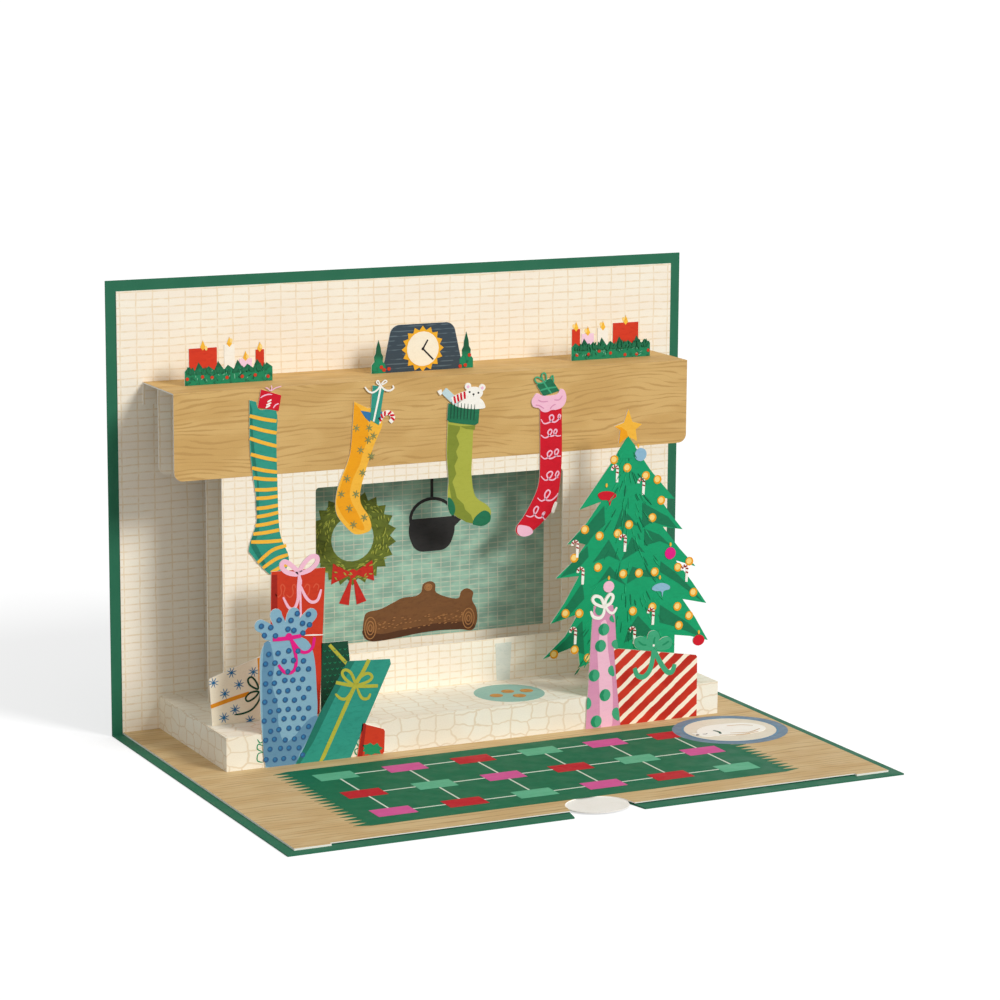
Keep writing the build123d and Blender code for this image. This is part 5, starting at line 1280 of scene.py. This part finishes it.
# %% The bag at the left
at_left = partial(film, "left", (-66.0, 0.0))
FOOT_DEPTH = 6.0
BAG_BODY = (
    (2, 0), (0.9, 12), (0.6, 24), (1.1, 32.2), (4.2, 34.6), (12.8, 34.6), (16.0, 30), (16.9, 20), (16.9, 12),
    (14.5, 0),
)
LEANING = ((10.6, 0), (26.6, 26.8), (38.4, 26.2), (38.7, 24.8), (26.8, 0))
SMALL = ((28.7, 0), (30.2, 9.1), (36.5, 6.9), (36.9, 6.2), (36.7, 0.4), (36.2, 0))


def glue_foot(start, end):
    """The flap at a sheet's lower edge that is folded back and glued to the floor page."""
    return patch(((start, 0), (end, 0), (end, SHEET), (start, SHEET)), depth=FOOT_DEPTH)


lobes = [
    stroke(((8.7, 34.6), (4.7, 36.6), (0.7, 39.1)), 3.4, taper=0.9),
    stroke(((8.7, 34.6), (6.7, 38.1), (5.2, 41.4)), 3.4, taper=0.95),
    stroke(((9, 34.6), (9.7, 38.3), (10.4, 41.3)), 3.8, taper=0.95),
    stroke(((9.2, 34.6), (12.7, 38), (15.6, 40.8)), 3.6, taper=0.95),
    stroke(((8.1, 34.7), (4.7, 35.4), (2.1, 36)), 2.0, taper=0.9),
]
TIP_RADIUS = 1.75
tips = dots(((0.9, 38.9), (5.3, 41.4), (10.4, 41.3), (15.4, 40.6)), TIP_RADIUS)
at_left(
    "left_gifts", "bag", [leg(BAG_BODY), patch(LEANING), patch(SMALL), *lobes, *tips, glue_foot(4, 26)], 0,
    ("gifts_front_left",),
)

# %% [markdown]
# The bag's left side lies in shade. Every dot is dark with a paler heart, a little up and to the left, as the balls
# of the tree are. Dots that would run over the bag's edge are left out, which a test on their places does.

# %% The bag's shade, its dots and its tie
side = leg(
    (
        (1.8, 34.1), (3.5, 34.2), (4.7, 27.9), (4.1, 22.5), (5.6, 16.9), (5.8, 11.4), (7.3, 6.5), (10.2, 7.6),
        (13.1, 10.6), (15.5, 12.5), (17.2, 12.3), (15.5, 8.6), (11.9, 2.9), (10.2, 0), (2.3, 0.3), (1.4, 11.8),
        (1.2, 26.1),
    ),
)
at_left("bag_shade", "bag_dark", [side])
chance = np.random.default_rng(5)
rows, columns = np.meshgrid(np.arange(12), np.arange(6), indexing="ij")
DOT_START, DOT_PITCH, DOT_SHIFT, DOT_RISE, DOT_STRAY = 2.0, 2.75, 1.35, 2.65, 0.3
lattice = [DOT_START + DOT_PITCH * columns + DOT_SHIFT * (rows % 2), DOT_START + DOT_RISE * rows]
spots = np.stack(lattice, axis=2).reshape(-1, 2)
spots += chance.uniform(-DOT_STRAY, DOT_STRAY, spots.shape)
right_edge = np.interp(spots[:, 1], (0, 12, 30, 35), (14.0, 16.6, 15.8, 13.0))
spots = spots[(spots[:, 0] < right_edge - 0.9) & (spots[:, 0] > 1.5)]
lobe_spots = (
    (1.1, 38.8), (3.8, 38.2), (6.2, 40), (1.9, 36.2), (5.1, 35.8), (9.6, 39.6), (8.7, 37.3), (11.4, 41.3),
    (10.4, 36.8), (12.9, 38.5), (14.6, 40.8), (14.9, 37.9), (13, 35.8),
)
both = np.concatenate([spots, lobe_spots])
DOT_RADIUS, HEART_RADIUS = 0.78, 0.42
at_left("bag_dots", "blue_deep", dots(both, DOT_RADIUS, sides=10), 2)
at_left("bag_dot_hearts", "blue", dots(both + LIGHT, HEART_RADIUS, sides=8), 3)
tie = [
    stroke(((4.3, 34.9), (7.5, 34.8), (12.4, 35.1)), 1.1, taper=0.95),
    dot(8.9, 35.2, 1.0),
    stroke(((9.4, 34.8), (10.8, 30.3), (10.9, 27.3), (9.9, 25.5), (7.7, 25.6), (5.9, 27.8)), 0.9, taper=0.8),
    stroke(((9.7, 34.3), (12.1, 31.1), (14.1, 30.5), (15.7, 31.7), (16.3, 34.3)), 0.85, taper=0.8),
]
at_left("bag_tie", "magenta", tie, 4, ("ribbons_front_left",))

# %% [markdown]
# The two boxes beside the bag share its sheet. A box is a patch of one ink with a darker patch for its side, and its
# ribbon is a cross of broad strokes with loops at the knot. The small one has a sprig of holly in place of a bow.

# %% The leaning box and the small one
at_left("leaning_gift", "teal", [patch(LEANING)], 1, ("gift_leaning",))
at_left(
    "leaning_gift_side", "teal_deep",
    [patch(((25.9, 26.8), (28.1, 26.7), (23.1, 18.9), (16, 5.8), (11.9, -0.2), (11, 0), (17.8, 13.4)))], 2,
)
cross = [
    stroke(((32.2, 26.6), (30.2, 23.1), (28.1, 19.9), (23.1, 10), (18, -0.3)), 1.15, taper=0.95),
    stroke(((22.5, 21.3), (28.4, 19.7), (34.8, 19.1)), 0.95, taper=0.95),
    loop(((28.1, 20), (25.4, 21.8), (24.3, 23.7), (25.3, 24.5), (27, 23.3)), 0.8),
    loop(((28.6, 20), (31.9, 20.6), (33.1, 21.8), (31.8, 22.9), (29.5, 21.9)), 0.8),
    stroke(((27.8, 19.4), (25.7, 16.7), (23.9, 16.7), (22.3, 18.2)), 0.8),
    stroke(((28.6, 19.3), (30, 16.3), (31.8, 15.9), (32.6, 17.2)), 0.8),
]
at_left("leaning_gift_ribbon", "ribbon_olive", cross, 3)
at_left("small_gift", "red", [patch(SMALL)], 1, ("gift_small",))
at_left("small_gift_side", "red_deep", [patch(((30.6, 9.2), (31.4, 8.8), (30.2, -0.4), (29, -0.3)))], 2)
holly = patch(
    (
        (30.2, 3.1), (31.6, 3.1), (32.6, 3.5), (33.5, 2.7), (34.7, 3.2), (35.3, 2.2), (36.3, 1.6), (35.3, 0.9),
        (35.7, -0.2), (33.9, 0.3), (32.9, -0.2), (31.7, 0.4), (30.8, 0.3), (31, 1.1), (30.2, 1.4), (30.8, 2.1),
    ),
)
at_left("small_gift_holly", "leaf", [holly], 2)

# %% [markdown]
# The hearth's front has a thin green wire looped along its ends. It is drawn on the hearth itself, so its film
# starts at the middle of the card and not at a sheet's own place.

# %% The wire on the hearth
wires = (
    ((-66.2, 8), (-65.4, 6.9), (-64.4, 7.3)), ((-64.4, 5.9), (-65.9, 6.6), (-66.2, 5.3), (-64.8, 4.5)),
    ((-64.5, 4.3), (-66, 3.9), (-66.2, 2.1), (-64.7, 1.5)), ((-36.3, 5.2), (-37.3, 4.3), (-36.9, 2.9), (-36.1, 2.5)),
    ((-36.6, 2.3), (-37.8, 1.9), (-37.6, 0.7), (-36.5, 0.3)),
)
film("hearth", (0.0, 0.0), "hearth_wires", "leaf", strokes(wires, 0.32))

# %% [markdown]
# At the right stand a pink bottle with green dots and a striped box, each with its bow. A dot that runs over the
# bottle's edge is cut off there by the die, so the whole dots are round spots and the cut ones are patches.

# %% The bottle at the right
at_right = partial(film, "right", (33.0, 0.0))
BOTTLE = ((-0.6, 0), (1.2, 31.1), (1.7, 35.1), (7.6, 34.8), (8.3, 31.1), (10.4, 0))
STRIPED_BOX = ((10.4, 0), (8, 22.4), (34.4, 17.9), (34.9, 17.3), (35, 0))
bottle_loops = [
    loop(((4.7, 34.7), (2.3, 35.5), (1.2, 36.8), (1.9, 37.8), (3.8, 37.2)), 0.85),
    loop(((5.1, 34.8), (5.4, 36.6), (6.7, 38), (7.6, 37.2), (6.8, 35.4)), 0.85),
]
box_loops = patches(
    (
        ((20.6, 20.9), (17, 20.9), (14.7, 22.4), (14.9, 24.6), (17.5, 24.8), (19.9, 22.9)),
        ((19.7, 21.6), (18.7, 24.3), (19.6, 26.1), (21.7, 26), (22.6, 24.2), (21.7, 21.4)),
        ((21.4, 21.2), (23.1, 23.7), (25.6, 24), (26.7, 22.5), (25.9, 20.7), (23.2, 20.3)),
    ),
    True,
)
at_right(
    "right_gifts", "pink_deep", [patch(BOTTLE), patch(STRIPED_BOX), *bottle_loops, *box_loops, glue_foot(4, 30)], 0,
    ("gifts_front_right",),
)
at_right("bottle_shade", "pink_deep", [patch(BOTTLE)], 1, ("gift_bottle",))
at_right(
    "bottle_light", "pink",
    [leg(((3.9, 30.2), (5.6, 30.3), (6.2, 22.1), (7.7, 12.2), (7.6, -1), (4.3, -0.5), (3.6, 10.3), (2.8, 21.9)))], 2,
)
bottle_spots = ((4.8, 28.1), (3.8, 23.5), (1.9, 15.2), (5.4, 9.2), (2.7, 1.9))
GREEN_DOT = 1.75
green_dots = dots(bottle_spots, GREEN_DOT, 1.0, 18)
halves = (
    ((8.9, 24.6), (7.8, 24.6), (7.3, 23.6), (8.1, 22.5), (9.3, 22.2)),
    ((7.4, 31.9), (6.6, 31.4), (6.8, 30.4), (8.1, 29.9)),
    ((7.8, 17.3), (6.6, 17.2), (6.3, 16), (7, 14.8), (8.3, 14.5)),
    ((-0.1, 9), (0.8, 8.4), (1.1, 7), (0.5, 5.9), (-0.3, 5.9)),
    ((9.6, 5), (8.1, 4.9), (7.7, 3.4), (8.6, 2), (10, 1.6)),
    ((2.5, 35), (3.4, 35), (4.4, 33.9), (3.9, 32.5), (2.8, 32.4), (2, 33.6)),
)
green_dots += patches(halves, True)
at_right("bottle_dots", "jade", green_dots, 3)
CRESCENT = ((-0.1, 1.6), (-1.2, 1.1), (-1.7, 0), (-1.2, -1.1), (-0.1, -1.6), (-0.6, 0))
at_right("bottle_dot_shade", "leaf", patches([np.add(CRESCENT, spot) for spot in bottle_spots]), 4)
tails = [
    stroke(((4.9, 34.5), (4.6, 32.6), (3.5, 31.5), (1.5, 32), (0.6, 33.7)), 0.9),
    stroke(((5.3, 34.6), (6.3, 33), (7.7, 32.6), (8.8, 34.1)), 0.75),
]
at_right("bottle_bow", "white", bottle_loops + tails, 5)

# %% [markdown]
# The box beside it is wrapped in slanting stripes. They could be strokes, but each would have to end on the box's
# edge, so they are worked out in the material: the place along the slant is folded at the pitch of the stripes.

# %% The striped box
BOX_TURN = np.radians(38.6)
BOX_PITCH = 3.56
RED_SHARE = 0.64
BOX_STRAY = 0.55
BOX_SOFT = 0.06


def slanted(tree, place):
    """Red stripes on cream: the place along the slant's normal, folded at the pitch, is compared with the share."""
    across = calc(tree, "MULTIPLY", place["Across"], float(np.sin(BOX_TURN)))
    up = calc(tree, "MULTIPLY", place["Up"], float(np.cos(BOX_TURN)))
    stray = cloud(tree, flat_place(tree, place["Across"], place["Up"]), 0.35, 2.0)
    value = calc(tree, "ADD", calc(tree, "SUBTRACT", up, across), calc(tree, "MULTIPLY", stray, BOX_STRAY))
    fold = calc(tree, "PINGPONG", value, BOX_PITCH / 2)
    border = BOX_PITCH / 2 * (1 - RED_SHARE)
    mask = ramp(tree, fold, border - BOX_SOFT, border + BOX_SOFT)
    brush = use_group(tree, brush_marks, {"Across": place["Across"], "Up": place["Up"], "Length": 0.3, "Width": 0.4})
    red = mixed(tree, ramp(tree, brush["Wash"], 0.4, 0.6), ink(204, 50, 26), ink(184, 34, 16))
    return mixed(tree, mask, ink(250, 238, 214), red)


at_right("striped_box", "red", [patch(STRIPED_BOX)], 2, ("gift_stripes",), paper_finish("slanted_stripes", slanted))
tails = [
    stroke(((20.7, 20.9), (20.4, 17.8), (19.4, 14.7), (17.5, 13.2), (15.6, 13.9), (14.7, 16.1)), 1.5, taper=0.8),
    stroke(((20.9, 20.6), (22.9, 16.9), (25.1, 14), (26.8, 13.8), (27.6, 15.9)), 1.5, taper=0.8),
]
at_right("box_bow", "jade", box_loops + tails, 3, ("ribbons_front_right",))
slits = (
    ((15.8, 23.7), (17.1, 22.6), (18.4, 22.3)), ((21.1, 24.4), (20.8, 23.3), (20.8, 22.3)),
    ((23.5, 21.8), (24.6, 22.2), (25.6, 22.8)),
)
at_right("box_bow_slits", "leaf", strokes(slits, 0.5), 4)
at_right("box_bow_knot", "white", [dot(20.7, 22, 0.35)], 4)

# %% [markdown]
# On the shelf the evergreen gets needles of mint and of near black, tips that break its upper edge, red berries, and
# flames with a bright heart. The needles are too many to place by hand, so a seeded chance does it, the same each
# time: a needle starts at a random place and points a random way, mostly up.

# %% The garlands on the shelf
on_shelf = partial(film, "shelf", (0.0, SHELF_UP))
chance = np.random.default_rng(3)
NEEDLES = 46
GARLAND_LENGTH = 25.0
NEEDLE_LOW, NEEDLE_HIGH, NEEDLE_SHORT, NEEDLE_LONG = 0.5, 3.6, 0.5, 1.1
NEEDLE_PEN, TIP_PEN, TIP_LENGTH = 0.24, 0.55, 1.3
TIP_ROOT, TIP_MIDDLE = 2.8, 3.0
BERRIES, BERRY_RADIUS, MIDDLE_BERRY_RADIUS = 7, 0.5, 0.55
low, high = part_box("garland_leaves")
GARLANDS = ((low.x / MM, low.x / MM + GARLAND_LENGTH), (high.x / MM - GARLAND_LENGTH, high.x / MM))
mint, night, berries = [], [], []
for low_end, high_end in GARLANDS:
    x = chance.uniform(low_end + 1, high_end - 1, NEEDLES)
    z = chance.uniform(NEEDLE_LOW, NEEDLE_HIGH, NEEDLES)
    turn = chance.uniform(0.3, 2.8, NEEDLES)
    long = chance.uniform(NEEDLE_SHORT, NEEDLE_LONG, NEEDLES)
    ends = np.stack([x + long * np.cos(turn), z + long * np.sin(turn)], axis=1)
    needles = strokes([[(a, b), end] for a, b, end in zip(x, z, ends)], NEEDLE_PEN, taper=0.3, steps=2)
    mint += needles[: NEEDLES // 2]
    night += needles[NEEDLES // 2 :]
    across = np.linspace(low_end + 0.6, high_end - 0.8, BERRIES) + chance.uniform(-1, 1, BERRIES) * 0.6
    berries += dots(np.stack([across, chance.uniform(0.7, 2.4, BERRIES)], axis=1), BERRY_RADIUS, sides=9)
on_shelf("needles_mint", "mint", mint, 3)
tips = []
for low_end, high_end in GARLANDS:
    x = chance.uniform(low_end + 0.6, high_end - 0.6, 2 * NEEDLES)
    turn = chance.uniform(0.7, 2.4, 2 * NEEDLES)
    top = TIP_MIDDLE + chance.uniform(-0.6, 0.9, 2 * NEEDLES)
    ends = np.stack([x + TIP_LENGTH * np.cos(turn), top + TIP_LENGTH * np.sin(turn)], axis=1)
    tips += strokes([[(a, TIP_ROOT), end] for a, end in zip(x, ends)], TIP_PEN, taper=0.2, steps=2)
on_shelf("needle_tips", "green", tips, 2)
on_shelf("needles_dark", "green_black", night, 3)
middle_berries = ((-12.5, 1.7), (-11.7, 0.9), (-10.2, 1.1), (11.8, 0.6), (13.4, 0.8), (14.7, 3.6))
berries += dots(middle_berries, MIDDLE_BERRY_RADIUS, sides=9)
on_shelf("berries", "red", berries, 4)
hearts = (
    (-64.6, 10), (-57.3, 11.7), (-52.6, 7), (-48.6, 9.6), (47.8, 10), (51.7, 8.5), (56.6, 10.1), (63.9, 11.2),
)
FLAME_HEART, FLAME_TALL = 0.42, 1.5
on_shelf("flame_hearts", "gold_pale", dots(hearts, FLAME_HEART, FLAME_TALL, 9), 4)

# %% [markdown]
# A log lies in the firebox. It is printed on the middle panel's own sheet: bark with a darker underside, paler
# specks, and rings where it was sawn. A ring is the same oval at three sizes, which is how a designer draws it.

# %% The log in the firebox
SILL_UP = 12.4
on_log = partial(film, "log", (0.0, SILL_UP))
LOG = (
    (-17.9, 16.2), (-16.7, 17.8), (-12.9, 18.3), (-9.2, 19.7), (-6.1, 20.9), (-2.1, 21.1), (-0.2, 22.1), (0.4, 24.3),
    (2.6, 25), (4.2, 24), (4.5, 21.6), (8.3, 19.8), (11.5, 19.3), (12.4, 21.2), (14.3, 21.9), (16.2, 20.6),
    (15.9, 18.3), (17.2, 15.8), (17.5, 12.2), (15.9, 9.5), (12.1, 10.1), (5.8, 10.4), (-0.5, 10.2), (-6.7, 9.6),
    (-11.4, 9.2), (-16, 9.3), (-18.2, 11.3),
)
LOG_LOW = (
    (-17.9, 12.7), (-13, 11.1), (-6.7, 11.6), (-0.5, 12.2), (7.4, 12.6), (15.3, 11.9), (16.6, 10), (12.1, 10.1),
    (5.8, 10.4), (-0.5, 10.2), (-6.7, 9.6), (-11.4, 9.2), (-16, 9.3), (-18.2, 11.3),
)
RING_PLACES = ((-16, 13.1), (14.7, 13.1), (2, 23.3))
RING_SIZES = ((1.75, 3.1), (1.8, 2.9), (1.1, 0.9))
on_log("log_body", "bark", [patch(LOG, True)], 0, ("log",))
on_log("log_shade", "bark_dark", [patch(LOG_LOW, True)])
RING_PEN, RING_SHARES = 0.28, (1.0, 0.62, 0.3)
SPECKS, SPECK = 70, ((0, 0), (0.7, 0.1))
turn = np.linspace(0, 2 * np.pi, 10, endpoint=False)
rings = []
for place, (wide, tall) in zip(RING_PLACES, RING_SIZES):
    oval = np.stack([np.cos(turn) * wide, np.sin(turn) * tall], axis=1)
    rings += [loop(oval * share + place, RING_PEN) for share in RING_SHARES]
on_log("log_rings", "bark_pale", rings, 2)
chance = np.random.default_rng(9)
(left_end, left_up), (right_end, right_up) = RING_PLACES[:2]
x = chance.uniform(left_end + 2, right_end - 2, SPECKS)
z = np.interp(x, (left_end, right_end), (left_up, right_up)) + chance.uniform(-1.4, 2.4, SPECKS)
on_log("log_specks", "bark_pale", strokes([np.add(SPECK, spot) for spot in zip(x, z)], 0.22, steps=2), 2)

# %% [markdown]
# The wreath is a ring of evergreen. A plain ring looks like a band of felt, so paler sprays are strewn over it: each
# lies along the ring, give or take 40 degrees, as twigs do that are wound round a hoop.

# %% The wreath's sprays
SPRAYS, SPRAY_LENGTH, SPRAY_PEN = 130, 1.2, 0.4
WREATH_NEAR, WREATH_FAR, SPRAY_STRAY = 7.4, 12.2, 0.7
low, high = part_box("wreath")
middle = np.array([(low.x + high.x) / 2, (low.z + high.z) / 2 - FLOOR_FACE]) / MM
turn = chance.uniform(0, 2 * np.pi, SPRAYS)
reach = chance.uniform(WREATH_NEAR, WREATH_FAR, SPRAYS)
x, z = middle[0] + reach * np.cos(turn), middle[1] + reach * np.sin(turn)
way = turn + np.pi / 2 + chance.uniform(-SPRAY_STRAY, SPRAY_STRAY, SPRAYS)
starts = np.stack([x, z], axis=1)
ends = starts + SPRAY_LENGTH * np.stack([np.cos(way), np.sin(way)], axis=1)
sprays = strokes(np.stack([starts, ends], axis=1), SPRAY_PEN, taper=0.2, steps=2)
film("wreath", (0.0, 0.0), "wreath_light", "olive_light", sprays)

# %% [markdown]
# At the right end of the floor page a pet sleeps in its bed: a ring of blue plush round a cream cushion, all of it
# printed flat. It is laid in layers as the ink is, the cushion first, then its rim, then the pet and its dark marks.

# %% The pet in its bed
CUSHION_SHARE = 0.8
RIM_SHARE = 1.03
low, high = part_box("pet_bed")
bed_height = (high.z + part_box("pet")[1].z) / 2
middle = ((low.x + high.x) / 2 / MM, (low.y + high.y) / 2 / MM)
wide, tall = (high.x - low.x) / 2 / MM * CUSHION_SHARE, (high.y - low.y) / 2 / MM * CUSHION_SHARE
cushion = dot(0, 0, wide, tall / wide, 40)
rim = stroke(cushion["edge"] * RIM_SHARE, 0.5, closed=True, steps=2)
on_floor = partial(film, "hearth", middle)
on_floor("cushion", "cushion", [cushion], 1, level=bed_height - LAYER * MM)
on_floor("cushion_rim", "bag_dark", [rim], 1, level=bed_height)
in_bed = partial(on_floor, level=bed_height)
body = patch([(-10.2, 0.6), (-6, 5.2), (1, 6.1), (8, 4.2), (10.4, -1), (7.5, -5.2), (0, -6.3), (-7, -4.6)], True)
head = patch(
    [(-11.6, -2), (-11.9, 0.8), (-10.6, 0.2), (-8, 1.2), (-5.6, 0), (-5.2, -2.6), (-8, -4.4), (-10.6, -3.8)], True,
)
in_bed("sleeping_pet", "white", [body, head], 3, ("pet",))
fur = strokes(
    ([(-2, -3.6), (3, -5.0), (8, -2.8)], [(1, 3.6), (5, 3.0), (8, 1)], [(-6, -4.6), (0, -6.2), (6, -5.4)]), 0.5,
)
in_bed("pet_fur", "tan", fur, 4)
in_bed("pet_collar", "green_black", [stroke([(-5.0, 0.8), (-4.3, -1.2), (-4.9, -3.2)], 0.8)], 4)
eye = stroke([(-9.6, -1.4), (-8.9, -1.8), (-8.2, -1.5)], 0.35)
in_bed("pet_eye", "black", [eye, dot(-11.3, -1.6, 0.45)], 4)

# %% [markdown]
# The card stands on a plain white table in front of a white sweep. What the camera sees of both is white by
# itself, so the lamps can stay at a plain level, at which an ink looks as it is named. The table keeps the shadow.

# %% The table and the white sweep
TABLE_HALF = 6.0
TABLE_GLOW = 0.6
TABLE_GREY = 0.5
ROOM_LIGHT = 0.55


def seen(tree):
    """A mask of the rays that show the background: straight to the camera, mirrored, or through glass."""
    path = box_of(tree, "LightPath").outputs
    mask = calc(tree, "MAXIMUM", path["Is Camera Ray"], path["Is Glossy Ray"])
    return calc(tree, "MAXIMUM", mask, path["Is Transmission Ray"])


table_mesh = bpy.data.meshes.new("table_top")
corners = np.array([(-1, -1), (1, -1), (1, 1), (-1, 1)]) * TABLE_HALF
table_mesh.from_pydata([(x, y, cad_low.z) for x, y in corners.tolist()], [], [(0, 1, 2, 3)])
table_top = bpy.data.objects.new("table_top", table_mesh)
bpy.context.scene.collection.objects.link(table_top)
table_top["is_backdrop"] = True

table_white = bpy.data.materials.new("table_white")
table_white.use_nodes = True
tree = table_white.node_tree
shader = tree.nodes["Principled BSDF"]
shader.inputs["Base Color"].default_value = (TABLE_GREY, TABLE_GREY, TABLE_GREY, 1.0)
shader.inputs["Roughness"].default_value = 0.9
shader.inputs["Specular IOR Level"].default_value = 0.0
shader.inputs["Emission Color"].default_value = (1.0, 1.0, 1.0, 1.0)
tree.links.new(calc(tree, "MULTIPLY", seen(tree), TABLE_GLOW), shader.inputs["Emission Strength"])
table_mesh.materials.append(table_white)
print("the table is", 2 * TABLE_HALF, "m wide, at z", round(cad_low.z, 5))

world = bpy.data.worlds.new("white_room")
bpy.context.scene.world = world
world.use_nodes = True
tree = world.node_tree
strength = chosen(tree, seen(tree), ROOM_LIGHT, 1.0)
tree.nodes["Background"].inputs["Color"].default_value = (1.0, 1.0, 1.0, 1.0)
tree.links.new(strength, tree.nodes["Background"].inputs["Strength"])

# %% [markdown]
# The light comes from the front, a little from the right and from above, as soft as through a large window.
# It throws the chimney's shadow to the left, on the wall. An area lamp would have to be sized and placed to do this,
# but a sun with a wide angle gives the same soft edge everywhere.

# %% The window light
SUN_TURN = 30.0
SUN_HEIGHT = 33.0
SUN_STRENGTH = 2.1
SUN_SOFTNESS = 18.0
turn, height = np.radians(SUN_TURN), np.radians(SUN_HEIGHT)
towards_sun = Vector((np.sin(turn) * np.cos(height), -np.cos(turn) * np.cos(height), np.sin(height)))
lamp = bpy.data.lights.new("window", "SUN")
lamp.energy = SUN_STRENGTH
lamp.angle = float(np.radians(SUN_SOFTNESS))
window = bpy.data.objects.new("window", lamp)
window.rotation_mode = "QUATERNION"
window.rotation_quaternion = towards_sun.to_track_quat("Z", "Y")
bpy.context.scene.collection.objects.link(window)
print("light from", [round(part, 2) for part in towards_sun])

# %% [markdown]
# The camera stands nine tenths of a metre away, to the left and a little above the card, with a long lens. Its place
# and its turn were worked out from where the card's corners lie in the picture.

# %% The camera
CAMERA_PLACE = Vector((-383.15, -775.86, 233.23)) * MM
CAMERA_YAW = 26.249
CAMERA_PITCH = 10.639
CAMERA_ROLL = 0.349
LENS = 118.13
yaw, pitch, roll = np.radians([CAMERA_YAW, CAMERA_PITCH, CAMERA_ROLL])
ahead = Vector((np.sin(yaw) * np.cos(pitch), np.cos(yaw) * np.cos(pitch), -np.sin(pitch)))
right = Vector((np.cos(yaw), -np.sin(yaw), 0.0))
up = right.cross(ahead)
turned_right = right * np.cos(roll) + up * np.sin(roll)
turned_up = up * np.cos(roll) - right * np.sin(roll)
axes = Matrix((turned_right, turned_up, -ahead)).transposed()
camera_data = bpy.data.cameras.new("camera")
camera_data.lens = LENS
camera_data.sensor_width = 36.0
camera = bpy.data.objects.new("camera", camera_data)
camera.matrix_world = Matrix.LocRotScale(CAMERA_PLACE, axes.to_quaternion(), None)
bpy.context.scene.collection.objects.link(camera)
bpy.context.scene.camera = camera
bpy.context.scene.view_settings.view_transform = "Standard"
print("the camera stands", round(CAMERA_PLACE.length, 3), "m away, with a lens of", LENS, "mm")

# %% [markdown]
# The dressed card must keep the size of the solids, so both boxes are written down for comparison.

# %% The sizes, and the end
bpy.context.view_layer.update()
low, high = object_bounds()
print("scene size in millimetres:", [round(1000 * length, 2) for length in high - low])
